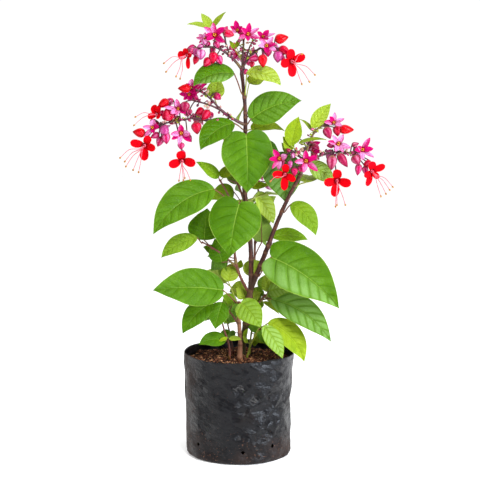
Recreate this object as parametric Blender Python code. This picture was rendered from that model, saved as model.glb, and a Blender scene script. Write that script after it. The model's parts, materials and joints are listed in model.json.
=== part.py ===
"""A glorybower shrub in flower, standing in its round nursery grow bag.

Metres, +Z up, the bag's flat underside on z = 0 and the plant's front towards -Y.
The limbs, the leaves and the flower heads are each given by a few named sizes; the
functions below turn those into closed solids.
"""

import math
import random
from typing import NamedTuple

import bmesh
import bpy
import numpy as np

# ---------------------------------------------------------------- driving sizes
SEAT_GAP = 0.0003
BAG_HEIGHT = 0.141
BAG_RIM_RADIUS = 0.0750
BAG_FOOT_RADIUS = 0.0720
BAG_WALL = 0.0012
BAG_CORNER = 0.006
BAG_SIDES = 32
MIX_LEVEL = 0.1340
MIX_FALL = 0.0015
DRAIN_HOLES = 8
DRAIN_TURN = -46.5
DRAIN_HEIGHT = 0.0205
DRAIN_WIDTH = 0.0060
DRAIN_CUT = 0.004
MIX_FLAT_RADIUS = 0.048

ROOT_FLARE = 0.35
ROOT_FLARE_FADE = 14
LEAF_THICKNESS = 0.020
LEAF_FOLD = 0.10
LEAF_KNEE = 0.0018
STALK_THICKNESS = 0.0009
PEDICEL_RADIUS = 0.0007
STAMEN_RADIUS = 0.0005
BUD_LENGTH = 0.0160
BUD_WIDTH = 0.0110
BLOOM_TUBE_BACK = 0.0028
BLOOM_TUBE_THROAT = 0.0016
HEAD_SEED = 7
BACK_HEAD_SWING = 65
BACK_HEAD_RISE = (-25, 40)
BACK_HEAD_REACH = (0.014, 0.022)
BACK_STAR_SIZE = (0.010, 0.013)
# one lobe's outline: share of the lobe's turn, reach and lift as shares of the head's radius
SEPAL = ((0.0, 1.0, 1.0), (0.5, 0.45, 0.0))
PETAL = ((-0.24, 0.84, 0.8), (0.0, 1.0, 1.0), (0.24, 0.84, 0.8), (0.5, 0.34, 0.0))

# a parting cutter is rounder than the limb it follows and a little wider than the gap
CUTTER_SIDES = 12
CUTTER_STEPS = 24
CUTTER_GAP = SEAT_GAP * 1.2
RAISED_FOOT = SEAT_GAP * 3

UP = np.array((0.0, 0.0, 1.0))
HEART = 0.42
TAPER = 1.15


class Limb(NamedTuple):
    """A stem or twig: where it leaves its parent, its tip, its bow and sway, its radii."""

    name: str
    parent: str
    at: float
    tip: tuple
    arch: float
    sway: float
    waves: float
    foot_radius: float
    tip_radius: float


class Leaf(NamedTuple):
    """One leaf: its node, its stalk (azimuth, rise, length) and its blade."""

    name: str
    limb: str
    at: float
    stalk_azimuth: float
    stalk_rise: float
    stalk: float
    azimuth: float
    rise: float
    length: float
    width: float
    droop: float
    tilt: float
    fullness: float = 0.62


class Head(NamedTuple):
    """One flower head: its cluster, kind, place, facing, radius, lobes and trailing stamens."""

    cluster: str
    kind: str
    place: tuple
    azimuth: float
    rise: float
    size: float
    lobes: int = 5
    turn: float = 0.0
    trail: float = 0.0
    spread: float = 0.0
    reach: float = 0.0


STEMS = (
    Limb("trunk", "", 0, (0.0155, 0.000, 0.2260), 0, 0, 1, 0.0043, 0.0037),
    Limb("leader", "trunk", 1, (0.0036, 0.000, 0.5160), 0, 0.0026, 3, 0.0033, 0.0024),
    Limb("right_bough", "trunk", 0.97, (0.0820, -0.020, 0.3840), 0.003, 0.001, 2, 0.0034, 0.0024),
    Limb("woody_stub", "", 0, (0.0000, -0.012, 0.2110), 0, 0.0008, 2, 0.0036, 0.0026),
)

SHOOTS = (
    Limb("left_shoot", "trunk", 0.92, (-0.0260, -0.002, 0.3750), 0, -0.0075, 2, 0.0020, 0.0011),
    Limb("left_side_twig", "left_shoot", 0.24, (-0.0500, -0.012, 0.2920), 0.003, 0, 1, 0.0014, 0.0010),
    Limb("low_right_shoot", "trunk", 0.70, (0.0360, 0.004, 0.2180), -0.003, 0, 1, 0.0016, 0.0011),
    Limb("low_left_shoot", "woody_stub", 0.52, (-0.0250, -0.014, 0.2060), 0.004, 0, 1, 0.0014, 0.0010),
    Limb("foot_left_shoot", "", 0, (-0.0240, -0.014, 0.1880), 0.002, 0.001, 2, 0.0016, 0.0010),
    Limb("foot_right_shoot", "", 0, (0.0270, -0.022, 0.1760), 0.002, 0, 1, 0.0012, 0.0010),
    Limb("foot_back_shoot", "", 0, (0.0230, 0.030, 0.1900), 0.002, 0, 1, 0.0014, 0.0010),
    Limb("foot_rear_shoot", "", 0, (-0.0200, 0.034, 0.1850), 0.002, 0, 1, 0.0013, 0.0010),
    Limb("back_shoot", "trunk", 0.88, (0.0300, 0.050, 0.3300), 0.002, 0.002, 2, 0.0020, 0.0011),
    Limb("rear_left_shoot", "leader", 0.30, (-0.0200, 0.040, 0.4250), 0.002, 0.002, 2, 0.0018, 0.0010),
)

SPRAYS = (
    Limb("blossom_top", "leader", 1, (0.0045, 0.001, 0.5250), 0, 0, 1, 0.0022, 0.0020),
    Limb("top_left", "blossom_top", 0.50, (-0.0280, -0.010, 0.5500), 0.003, 0, 1, 0.0017, 0.0012),
    Limb("top_fork", "top_left", 0.55, (-0.0170, -0.012, 0.5550), 0, 0, 1, 0.0011, 0.0009),
    Limb("top_outer", "top_left", 0.98, (-0.0680, -0.015, 0.5460), 0.003, 0, 1, 0.0012, 0.0008),
    Limb("top_sprig", "top_left", 0.90, (-0.0370, 0.014, 0.5740), 0, 0, 1, 0.0010, 0.0008),
    Limb("top_middle", "blossom_top", 0.95, (0.0040, 0.004, 0.5550), 0, 0, 1, 0.0014, 0.0010),
    Limb("top_right", "blossom_top", 0.75, (0.0290, -0.006, 0.5500), 0.003, 0, 1, 0.0016, 0.0011),
    Limb("top_right_outer", "top_right", 0.98, (0.0620, -0.012, 0.5430), 0.004, 0, 1, 0.0011, 0.0008),
    Limb("top_back", "blossom_top", 0.85, (0.0060, 0.036, 0.5480), 0.004, 0, 1, 0.0014, 0.0009),
    Limb("back_spray", "back_shoot", 0.97, (0.0220, 0.088, 0.3980), 0.004, 0, 1, 0.0012, 0.0009),
    Limb("back_spray_side", "back_spray", 0.55, (-0.0040, 0.090, 0.3880), 0.003, 0, 1, 0.0010, 0.0008),
    Limb("blossom_left_upper", "leader", 0.765, (-0.0280, -0.010, 0.4720), -0.002, 0, 1, 0.0019, 0.0014),
    Limb("left_upper_high", "blossom_left_upper", 0.98,
         (-0.0520, -0.012, 0.4930), 0.002, 0, 1, 0.0012, 0.0009),
    Limb("left_upper_low", "blossom_left_upper", 0.80,
         (-0.0580, -0.014, 0.4800), 0.002, 0, 1, 0.0012, 0.0008),
    Limb("blossom_left_lower", "leader", 0.66, (-0.0370, -0.015, 0.4560), -0.004, 0, 1, 0.0017, 0.0013),
    Limb("left_lower_outer", "blossom_left_lower", 0.98,
         (-0.1040, -0.020, 0.4500), 0.004, 0.001, 2, 0.0013, 0.0008),
    Limb("left_lower_back", "blossom_left_lower", 0.85,
         (-0.0640, 0.016, 0.4560), 0.002, 0, 1, 0.0011, 0.0008),
    Limb("blossom_right", "right_bough", 1, (0.0850, -0.020, 0.4050), 0, 0, 1, 0.0020, 0.0016),
    Limb("right_upper", "blossom_right", 0.97, (0.1070, -0.020, 0.4470), 0.003, 0.001, 2, 0.0014, 0.0009),
    Limb("right_inner", "blossom_right", 0.92, (0.0720, -0.026, 0.4150), 0, 0, 1, 0.0013, 0.0009),
    Limb("right_back", "blossom_right", 0.90, (0.0900, 0.008, 0.4200), 0.002, 0, 1, 0.0012, 0.0008),
    Limb("right_outer", "blossom_right", 0.32, (0.1150, -0.020, 0.4110), 0.003, 0, 1, 0.0015, 0.0012),
    Limb("right_outer_arm", "right_outer", 0.97, (0.1510, -0.020, 0.4110), 0.003, 0, 1, 0.0012, 0.0008),
)
LIMBS = {limb.name: limb for limb in STEMS + SHOOTS + SPRAYS}

# where the limbs that rise from the mix stand on it
FEET = {
    "trunk": (0.0035, 0.0100),
    "woody_stub": (0.0010, -0.0120),
    "foot_left_shoot": (-0.0130, -0.0120),
    "foot_right_shoot": (0.0110, -0.0080),
    "foot_back_shoot": (0.0140, 0.0180),
    "foot_rear_shoot": (-0.0080, 0.0180),
}

# name, limb, at, stalk azimuth, stalk rise, stalk length, azimuth, rise, length, width, droop, tilt
STEM_LEAVES = tuple(
    Leaf(*row)
    for row in (
        ("leaf_top_left", "leader", 0.91, -149, 60, 0.028, -154, -15, 0.064, 0.038, 55, 45),
        ("leaf_top_right", "leader", 0.905, -69, 70, 0.028, -26, -18, 0.054, 0.027, 55, 45),
        ("leaf_high_right", "leader", 0.77, -39, 35, 0.009, -5, 20, 0.073, 0.045, 40, 62),
        ("leaf_high_left", "leader", 0.745, -146, 26, 0.017, -146, -32, 0.066, 0.036, 60, 52),
        ("leaf_high_back", "leader", 0.74, 42, 3, 0.009, 25, -4, 0.052, 0.022, 60, 40),
        ("leaf_top_under", "leader", 0.885, 52, 63, 0.020, 29, 14, 0.026, 0.022, 30, 40),
        ("leaf_heart_high", "leader", 0.70, -86, 24, 0.017, -77, -85, 0.079, 0.068, 25, 60, HEART),
        ("leaf_behind_right", "leader", 0.66, 19, -2, 0.022, 30, -27, 0.032, 0.034, 30, 50),
        ("leaf_heart_low", "leader", 0.40, -110, 9, 0.023, -125, -73, 0.074, 0.070, 25, 60, HEART),
        ("leaf_mid_right", "leader", 0.385, 43, 43, 0.020, 21, -57, 0.050, 0.030, 35, 40),
        ("leaf_mid_far_right", "leader", 0.41, 25, 16, 0.030, 41, -11, 0.036, 0.022, 30, 10),
        ("leaf_dark_centre", "leader", 0.14, 43, 47, 0.026, 91, 62, 0.042, 0.030, 20, -50),
        ("leaf_behind_trunk", "leader", 0.07, 140, 7, 0.009, 11, 17, 0.034, 0.024, 20, 60),
        ("leaf_back_high", "leader", 0.72, 74, -20, 0.015, 85, -26, 0.062, 0.040, 50, 20),
        ("leaf_back_middle", "leader", 0.45, 78, -30, 0.018, 108, -38, 0.086, 0.044, 50, 20),
        ("leaf_back_right", "right_bough", 0.22, 35, 13, 0.029, 54, -27, 0.095, 0.046, 50, 30),
        ("leaf_back_left", "trunk", 0.80, 150, 33, 0.039, 136, -11, 0.091, 0.044, 50, 30),
        ("leaf_back_bough", "right_bough", 0.90, 40, 8, 0.018, 80, 0, 0.060, 0.034, 50, 20),
        ("leaf_back_top", "leader", 0.80, 51, 21, 0.022, 55, 4, 0.071, 0.030, 50, 20),
        ("leaf_bough_back", "right_bough", 0.70, 76, 52, 0.006, 128, 78, 0.072, 0.048, 20, 60),
        ("leaf_bough_front", "right_bough", 0.68, -38, 35, 0.015, -29, -47, 0.057, 0.028, 60, 60),
        ("leaf_bough_side", "right_bough", 0.39, 27, 60, 0.009, 14, -6, 0.052, 0.023, 45, 50),
        ("leaf_bough_small", "right_bough", 0.33, 60, 21, 0.017, 27, -31, 0.020, 0.014, 30, 40),
        ("leaf_largest", "right_bough", 0.14, -44, 46, 0.034, -23, -33, 0.118, 0.069, 34, 60, HEART),
        ("leaf_big_left", "woody_stub", 0.96, -140, 38, 0.033, -161, 3, 0.098, 0.054, 20, 62),
        ("leaf_yellow", "woody_stub", 0.98, 156, 60, 0.030, 66, 50, 0.030, 0.024, 20, 60),
        ("leaf_front", "woody_stub", 0.93, -80, 22, 0.013, -44, -37, 0.048, 0.034, 25, 62),
    )
)

TWIG_LEAVES = tuple(
    Leaf(*row)
    for row in (
        ("wide_left", "left_shoot", 0.80, -140, 33, 0.033, -150, -31, 0.110, 0.050, 55, 58),
        ("shoot_tip_left", "left_shoot", 1.0, -104, 33, 0.005, -169, 35, 0.038, 0.018, 20, 50),
        ("shoot_tip_right", "left_shoot", 0.99, 0, 45, 0.004, 51, 50, 0.022, 0.016, 20, 40),
        ("twig_dark", "left_side_twig", 0.72, -171, 43, 0.015, 78, 66, 0.045, 0.046, 15, 62),
        ("twig_left", "left_side_twig", 0.99, -165, 43, 0.008, -160, -26, 0.058, 0.026, 45, 55),
        ("twig_inner", "left_shoot", 0.29, -152, 6, 0.020, 134, 66, 0.034, 0.030, 15, 62),
        ("twig_small", "left_side_twig", 0.55, 99, -29, 0.010, 142, -10, 0.020, 0.014, 20, 30),
        ("twig_low", "left_shoot", 0.33, -171, 7, 0.011, 150, -42, 0.032, 0.024, 30, 50),
        ("low_right", "low_right_shoot", 0.75, -45, 8, 0.016, -29, -29, 0.106, 0.041, 50, 58),
        ("low_right_inner", "low_right_shoot", 0.98, -24, 47, 0.006, -22, 5, 0.036, 0.026, 30, 50),
        ("low_right_back", "low_right_shoot", 0.80, 76, 3, 0.006, 12, -43, 0.034, 0.020, 40, 20),
        ("low_left", "low_left_shoot", 0.98, -143, 26, 0.014, -150, -40, 0.062, 0.031, 45, 55),
        ("low_left_front", "low_left_shoot", 0.80, -127, 52, 0.012, -123, -64, 0.038, 0.028, 20, 60),
        ("foot_left", "foot_left_shoot", 0.42, -113, 5, 0.005, -162, -4, 0.040, 0.030, 60, 50),
        ("foot_left_small", "foot_left_shoot", 0.5, -60, 0, 0.006, -20, -2, 0.018, 0.011, 20, 30),
        ("foot_pale", "foot_right_shoot", 0.98, -58, 29, 0.012, -35, -53, 0.052, 0.024, 30, 58),
        ("foot_gold", "foot_right_shoot", 0.94, -10, 36, 0.016, -12, -46, 0.074, 0.036, 60, 45),
        ("low_right_mid", "low_right_shoot", 0.93, -31, 42, 0.004, -11, -3, 0.032, 0.022, 30, 55),
        ("low_right_up", "low_right_shoot", 0.95, 18, 32, 0.007, 135, 63, 0.025, 0.018, 20, 60),
        ("low_inner_a", "back_shoot", 0.04, 110, 6, 0.014, 170, -8, 0.024, 0.026, 30, 60),
        ("low_inner_d", "foot_back_shoot", 0.96, -31, 71, 0.034, 32, 62, 0.024, 0.020, 20, 60),
        ("low_inner_e", "foot_back_shoot", 0.96, 180, 71, 0.015, 23, 55, 0.026, 0.020, 20, 60),
        ("low_inner_f", "foot_rear_shoot", 0.96, -42, 50, 0.032, -163, -27, 0.023, 0.024, 30, 60),
        ("low_inner_g", "foot_rear_shoot", 0.92, -22, 25, 0.018, -161, -40, 0.025, 0.022, 30, 60),
        ("low_inner_h", "foot_back_shoot", 0.69, -127, 17, 0.013, -16, -25, 0.024, 0.018, 30, 55),
        ("low_inner_i", "foot_rear_shoot", 0.49, -78, 21, 0.008, -152, -39, 0.022, 0.018, 30, 55),
        ("mid_inner_b", "back_shoot", 0.78, 86, 4, 0.007, 20, 49, 0.036, 0.030, 30, 50),
        ("mid_inner_c", "back_shoot", 0.92, -134, 39, 0.004, 24, 37, 0.037, 0.026, 30, 40),
        ("mid_inner_e", "back_shoot", 0.65, 116, 5, 0.015, 158, 48, 0.040, 0.028, 30, 50),
        ("mid_inner_f", "rear_left_shoot", 0.68, 82, 6, 0.013, 134, 61, 0.029, 0.024, 30, 50),
        ("mid_inner_h", "rear_left_shoot", 0.49, 130, 5, 0.019, 10, 17, 0.035, 0.028, 30, 50),
        ("mid_back", "rear_left_shoot", 0.22, 155, 47, 0.023, -167, -18, 0.034, 0.030, 40, 50),
        ("foot_round", "foot_back_shoot", 0.24, -78, 7, 0.011, -29, 18, 0.013, 0.012, 20, 60),
        ("foot_right_low", "foot_back_shoot", 0.45, -76, 8, 0.013, -18, -25, 0.029, 0.020, 30, 55),
        ("back_wide", "left_shoot", 0.76, 155, 18, 0.037, 123, -15, 0.085, 0.042, 50, 30),
        ("back_low_right", "low_right_shoot", 0.90, 36, -20, 0.022, 49, -24, 0.081, 0.034, 50, 30),
        ("back_low_left", "foot_rear_shoot", 0.95, 148, 21, 0.020, 124, -24, 0.056, 0.026, 50, 20),
        ("back_centre", "foot_back_shoot", 0.95, 118, -20, 0.018, 86, -34, 0.060, 0.034, 50, 20),
        ("foot_dark", "foot_back_shoot", 0.7, -62, 0, 0.010, -18, -38, 0.042, 0.022, 30, 40),
        # beside the flowers
        ("sprig_left", "top_sprig", 0.95, 180, 50, 0.004, -170, 8, 0.031, 0.014, 30, 30),
        ("sprig_middle", "top_sprig", 0.97, 140, 60, 0.004, 130, 43, 0.027, 0.013, 20, 30),
        ("sprig_right", "top_sprig", 0.98, 0, 60, 0.004, 15, 48, 0.027, 0.012, 20, 20),
        ("left_hanging", "blossom_left_upper", 0.98, 123, 51, 0.014, 60, 66, 0.030, 0.024, 20, 60),
        ("left_hidden", "blossom_left_lower", 0.50, 100, 20, 0.012, 160, -10, 0.034, 0.020, 30, 20),
        ("right_pale", "right_outer", 0.35, 85, -22, 0.014, 10, -36, 0.045, 0.026, 30, 60),
        ("right_thin", "right_upper", 0.38, -154, 17, 0.013, -12, 7, 0.038, 0.013, 35, 20),
        ("right_lime_left", "right_upper", 0.06, -167, 40, 0.022, -11, 75, 0.040, 0.023, 15, 62),
        ("right_lime_mid", "right_upper", 0.78, 125, 23, 0.007, 153, 39, 0.023, 0.009, 50, 10),
        ("right_lime_up", "right_upper", 0.83, 180, 42, 0.005, 9, 52, 0.041, 0.020, 12, 62),
        ("right_lime_low", "right_inner", 0.98, 130, 13, 0.004, 161, 56, 0.022, 0.014, 20, 60),
        ("top_lime_a", "top_middle", 0.30, 144, 55, 0.017, 31, 62, 0.017, 0.012, 20, 60),
        ("top_lime_b", "top_middle", 0.25, 159, 51, 0.018, 143, 53, 0.017, 0.011, 20, 60),
        ("right_hidden", "right_inner", 0.40, 159, 14, 0.014, 148, 50, 0.018, 0.012, 20, 30),
    )
)

# cluster, kind, place, facing azimuth, facing rise, radius, lobes, turn of the lobes, then
# how the stamens trail as seen from the front: their mean way, half spread and length
HEADS = tuple(
    Head(*row)
    for row in (
        ("blossom_top", "star", (-0.032, -0.022, 0.567), -100, 25, 0.0165, 5, 8),
        ("blossom_top", "star", (-0.046, 0.006, 0.562), 150, 40, 0.0120, 5, 0),
        ("blossom_top", "star", (-0.002, -0.002, 0.573), -95, 40, 0.0130, 5, 0),
        ("blossom_top", "star", (0.012, -0.012, 0.568), -80, 30, 0.0160, 5, 0),
        ("blossom_top", "star", (0.032, 0.003, 0.565), -60, 45, 0.0130, 5, 20),
        ("blossom_top", "star", (0.036, -0.018, 0.553), -80, 15, 0.0160, 5, 30),
        ("blossom_top", "bloom", (-0.069, -0.024, 0.540), -125, -5, 0.0150, 4, 30, -132, 27, 0.031),
        ("blossom_top", "bloom", (0.070, -0.022, 0.532), -75, -5, 0.0180, 4, 8, -48, 17, 0.034),
        ("blossom_left_upper", "star", (-0.064, -0.018, 0.498), -110, 20, 0.0120, 5, 0),
        ("blossom_left_upper", "star", (-0.066, -0.012, 0.489), -100, -30, 0.0130, 5, 20),
        ("blossom_left_lower", "star", (-0.080, -0.026, 0.471), -100, 15, 0.0130, 5, 10),
        ("blossom_left_lower", "star", (-0.076, -0.028, 0.439), -90, -15, 0.0155, 5, 0),
        ("blossom_left_lower", "star", (-0.114, -0.026, 0.446), -110, 0, 0.0140, 5, 20),
        ("blossom_left_lower", "star", (-0.093, -0.016, 0.477), 158, 42, 0.0105, 5, 0),
        ("blossom_left_lower", "bloom", (-0.109, -0.022, 0.463), -120, 15, 0.0160, 4, -35, -158, 6, 0.031),
        ("blossom_left_lower", "bloom", (-0.125, -0.026, 0.422), -100, -10, 0.0175, 4, 5, -129, 25, 0.036),
        ("blossom_left_lower", "bloom", (-0.075, -0.034, 0.402), -90, -15, 0.0170, 5, 0, -82, 15, 0.028),
        ("blossom_right", "star", (0.053, -0.032, 0.406), -110, 10, 0.0150, 5, 15),
        ("blossom_right", "star", (0.088, -0.036, 0.403), -80, 0, 0.0165, 5, 0),
        ("blossom_right", "bloom", (0.060, -0.038, 0.385), -100, -10, 0.0170, 4, 5, -153, 6, 0.023),
        ("blossom_right", "star", (0.125, -0.024, 0.453), -80, 25, 0.0130, 5, 0),
        ("blossom_right", "star", (0.131, -0.026, 0.425), -90, 10, 0.0175, 5, 25),
        ("blossom_right", "star", (0.163, -0.024, 0.417), -80, 10, 0.0150, 5, -25),
        ("blossom_right", "bloom", (0.129, -0.034, 0.376), -90, -10, 0.0195, 4, 2, -82, 11, 0.035),
        ("blossom_right", "bloom", (0.176, -0.026, 0.388), -75, -10, 0.0180, 5, 5, -53, 18, 0.036),
    )
)

# the buds of each cluster that hang in front, by the middle of each bud
BUDS = {
    "blossom_top": (
        (-0.014, -0.014, 0.566), (-0.051, -0.020, 0.540), (-0.057, -0.012, 0.533),
        (-0.041, -0.016, 0.532), (-0.029, -0.014, 0.536), (0.056, -0.008, 0.561),
        (0.061, -0.016, 0.547), (0.051, -0.014, 0.537), (0.031, -0.025, 0.532),
        (0.020, -0.010, 0.536), (0.015, -0.012, 0.527),
    ),
    "blossom_left_upper": (
        (-0.074, -0.012, 0.497), (-0.043, -0.023, 0.462), (-0.052, -0.018, 0.466),
    ),
    "blossom_left_lower": (
        (-0.070, -0.010, 0.470),
        (-0.057, -0.020, 0.443), (-0.099, -0.028, 0.442), (-0.095, -0.024, 0.433),
        (-0.106, -0.022, 0.427), (-0.131, -0.020, 0.439), (-0.087, -0.021, 0.463),
    ),
    "blossom_right": (
        (0.067, -0.036, 0.398), (0.074, -0.030, 0.391), (0.086, -0.030, 0.389),
        (0.117, -0.020, 0.436), (0.129, -0.026, 0.438), (0.143, -0.020, 0.443),
        (0.122, -0.014, 0.423), (0.123, -0.026, 0.398), (0.137, -0.026, 0.402),
        (0.156, -0.022, 0.401), (0.159, -0.024, 0.390), (0.169, -0.020, 0.399),
        (0.159, -0.014, 0.424),
    ),
}

# cluster, twig, heads set out along its far side
BACK_HEADS = (
    ("blossom_top", "top_back", 6),
    ("blossom_top", "top_outer", 2),
    ("blossom_top", "top_right_outer", 2),
    ("back_shoot", "back_spray", 4),
    ("back_shoot", "back_spray_side", 2),
    ("blossom_left_upper", "left_upper_high", 2),
    ("blossom_left_lower", "left_lower_back", 4),
    ("blossom_left_lower", "left_lower_outer", 2),
    ("blossom_right", "right_back", 5),
    ("blossom_right", "right_outer_arm", 2),
)


# ---------------------------------------------------------------- lines and frames
def heading(azimuth, rise):
    """Unit direction for an azimuth round +Z and a rise above level, in degrees."""
    a, r = math.radians(azimuth), math.radians(rise)
    return np.array((math.cos(a) * math.cos(r), math.sin(a) * math.cos(r), math.sin(r)))


def unit(vector):
    return vector / np.linalg.norm(vector)


def limb_start(limb):
    if not limb.parent:
        return np.array((*FEET[limb.name], MIX_LEVEL + SEAT_GAP))
    return limb_point(LIMBS[limb.parent], limb.at)


def limb_point(limb, s):
    """The limb's axis at share s of its length: a straight reach, bowed up and swayed sideways."""
    start, tip = limb_start(limb), np.array(limb.tip)
    along = unit(tip - start)
    side = unit(np.cross(along, (0.0, 1.0, 0.0)))
    lift = unit(UP - along * along[2])
    bow = lift * limb.arch * 4 * s * (1 - s)
    return start + (tip - start) * s + bow - side * limb.sway * math.sin(math.pi * limb.waves * s)


def limb_tangent(limb, s):
    low, high = max(0.0, s - 0.02), min(1.0, s + 0.02)
    return unit(limb_point(limb, high) - limb_point(limb, low))


def limb_radius(limb, s):
    radius = limb.foot_radius + (limb.tip_radius - limb.foot_radius) * s
    if limb.parent:
        return radius
    return radius + ROOT_FLARE * limb.foot_radius * math.exp(-s * ROOT_FLARE_FADE)


def leaf_half_width(leaf, t):
    """Egg-shaped outline, rounder at the stalk the lower its fullness."""
    widest = leaf.fullness / (leaf.fullness + TAPER)
    peak = widest**leaf.fullness * (1 - widest) ** TAPER
    return leaf.width / 2 * t**leaf.fullness * (1 - t) ** TAPER / peak


def leaf_lines(leaf, stations, sunk):
    """Stalk points and, per blade station, its point, side, face and half width."""
    limb = LIMBS[leaf.limb]
    node, tangent = limb_point(limb, leaf.at), limb_tangent(limb, leaf.at)
    radius = limb_radius(limb, leaf.at)
    way = heading(leaf.stalk_azimuth, 0)
    out = unit(way - tangent * (way @ tangent))
    if sunk:
        root, knee = node, node + out * radius * 0.8
    else:
        root, knee = node + out * (radius + SEAT_GAP), node + out * (radius + LEAF_KNEE)
    point = node + heading(leaf.stalk_azimuth, leaf.stalk_rise) * (leaf.stalk + radius)
    base = point.copy()
    sky = np.array((0, -math.sin(math.radians(leaf.tilt)), math.cos(math.radians(leaf.tilt))))
    blade, before = [], 0.0
    for t in stations:
        middle = (before + t) / 2
        step = heading(leaf.azimuth, leaf.rise + leaf.droop * (0.5 - middle))
        point = point + step * leaf.length * (t - before)
        along = heading(leaf.azimuth, leaf.rise + leaf.droop * (0.5 - t))
        face = unit(sky - along * (sky @ along))
        blade.append((point, np.cross(along, face), face, leaf_half_width(leaf, t)))
        before = t
    return (root, knee, base), blade


def nearest_on_twigs(cluster, place):
    """The closest point to a head on the twigs of its cluster."""
    best = None
    for limb in SPRAYS:
        if cluster_of(limb.name) != cluster:
            continue
        for s in np.linspace(0.15, 1.0, 18):
            point = limb_point(limb, s)
            gap = np.linalg.norm(point - place)
            if best is None or gap < best[0]:
                best = (gap, point)
    return best[1]


def cluster_of(name):
    """The cluster, shoot or stem that a twig finally springs from."""
    roots = {limb.name for limb in STEMS}
    while LIMBS[name].parent and LIMBS[name].parent not in roots:
        name = LIMBS[name].parent
    return name


def all_heads():
    """Every head with its own facing: the placed ones, the hanging buds, and those on the far side."""
    heads = list(HEADS)
    for cluster, places in BUDS.items():
        for place in places:
            away = np.array(place) - nearest_on_twigs(cluster, np.array(place))
            away = unit(unit(away) + np.array((0, 0, -0.35)))
            azimuth = math.degrees(math.atan2(away[1], away[0]))
            rise = math.degrees(math.asin(away[2]))
            heads.append(Head(cluster, "bud", place, azimuth, rise, BUD_LENGTH))
    rng = random.Random(HEAD_SEED)
    for cluster, twig, count in BACK_HEADS:
        limb = LIMBS[twig]
        for index in range(count):
            s = 0.35 + 0.65 * (index + 0.5) / count
            azimuth = 90 + rng.uniform(-BACK_HEAD_SWING, BACK_HEAD_SWING)
            rise = rng.uniform(*BACK_HEAD_RISE)
            reach = rng.uniform(*BACK_HEAD_REACH)
            place = limb_point(limb, s) + heading(azimuth, rise) * reach
            kind = "star" if index % 3 == 1 else "bud"
            size = rng.uniform(*BACK_STAR_SIZE) if kind == "star" else BUD_LENGTH
            turn = rise if kind == "star" else rise - 40
            heads.append(Head(cluster, kind, tuple(place), azimuth, turn, size))
    return heads


# ---------------------------------------------------------------- closed solids
def loft(rings, close_tip=None):
    """A closed skin over rings of equal count; the far end is a cap or comes to a point."""
    verts = [tuple(p) for ring in rings for p in ring]
    n = len(rings[0])
    faces = [tuple(reversed(range(n)))]
    for k in range(len(rings) - 1):
        for i in range(n):
            j = (i + 1) % n
            faces.append((k * n + i, k * n + j, (k + 1) * n + j, (k + 1) * n + i))
    last = (len(rings) - 1) * n
    if close_tip is None:
        faces.append(tuple(range(last, last + n)))
    else:
        verts.append(tuple(close_tip))
        faces.extend((last + i, last + (i + 1) % n, len(verts) - 1) for i in range(n))
    return verts, faces


def tube(points, radii, sides):
    """A round skin along a line of points, its rings kept from twisting."""
    points = [np.array(p) for p in points]
    rings, side = [], None
    for k, point in enumerate(points):
        ahead = points[min(k + 1, len(points) - 1)] - points[max(k - 1, 0)]
        along = unit(ahead)
        if side is None:
            helper = UP if abs(along[2]) < 0.8 else np.array((0.0, 1.0, 0.0))
            side = unit(np.cross(helper, along))
        side = unit(side - along * (side @ along))
        other = np.cross(along, side)
        ring = []
        for i in range(sides):
            turn = 2 * math.pi * i / sides
            ring.append(point + radii[k] * (side * math.cos(turn) + other * math.sin(turn)))
        rings.append(ring)
    return loft(rings)


def limb_solid(limb, sides, steps, inflate=0.0):
    shares = np.linspace(0, 1, steps + 1)
    points = [limb_point(limb, s) for s in shares]
    points[0] = points[0] - limb_tangent(limb, 0) * inflate
    points[-1] = points[-1] + limb_tangent(limb, 1) * inflate
    radii = [limb_radius(limb, s) + inflate for s in shares]
    if not limb.parent:
        level = limb_start(limb)[2]
        verts, faces = tube(points, radii, sides)
        floor = level - 0.01 if inflate else level
        heights = [floor if i < sides else max(vert[2], floor) for i, vert in enumerate(verts)]
        verts = [(vert[0], vert[1], z) for vert, z in zip(verts, heights)]
        return verts, faces
    return tube(points, radii, sides)


def raised_foot(solid, sides, limb):
    """A limb that carries on from its parent's tip stands the seat gap above it."""
    verts, faces = solid
    lift = limb_tangent(limb, 0) * RAISED_FOOT
    verts = [tuple(np.array(v) + lift) if i < sides else v for i, v in enumerate(verts)]
    return verts, faces


def leaf_solid(leaf, sunk):
    """Stalk and blade as one skin: four-cornered sections that swell into a thin lens."""
    stations = (0.05, 0.25, 0.50, 0.76) if leaf.length > 0.04 else (0.08, 0.34, 0.70)
    (root, knee, base), blade = leaf_lines(leaf, stations + (1.0,), sunk)
    side, face = blade[0][1], blade[0][2]
    rings = []
    line = (root, knee, base, blade[0][0])
    for k in range(3):
        along = unit(line[min(k + 1, 3)] - line[max(k - 1, 0)])
        s = unit(side - along * (side @ along))
        f = unit(np.cross(s, along))
        r = STALK_THICKNESS * (1.15 if k == 0 else 1.0)
        rings.append([line[k] + s * r, line[k] + f * r, line[k] - s * r, line[k] - f * r])
    middle = max(leaf.length * LEAF_THICKNESS / 2, 0.0006)
    for k, (point, side, face, half) in enumerate(blade[:-1]):
        h = middle * (1.0, 1.0, 0.9, 0.7)[k]
        near, far = point + side * half, point - side * half
        fold = face * half * LEAF_FOLD
        rings.append([near + fold, point + face * h, far + fold, point - face * h])
    rings = [ring[::-1] for ring in rings]
    return loft(rings, blade[-1][0])


def cone_frame(direction):
    """Two directions across a facing: the first level, the second as near upward as can be."""
    helper = UP if abs(direction[2]) < 0.9 else np.array((1.0, 0.0, 0.0))
    side = unit(np.cross(helper, direction))
    return side, np.cross(direction, side)


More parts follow.
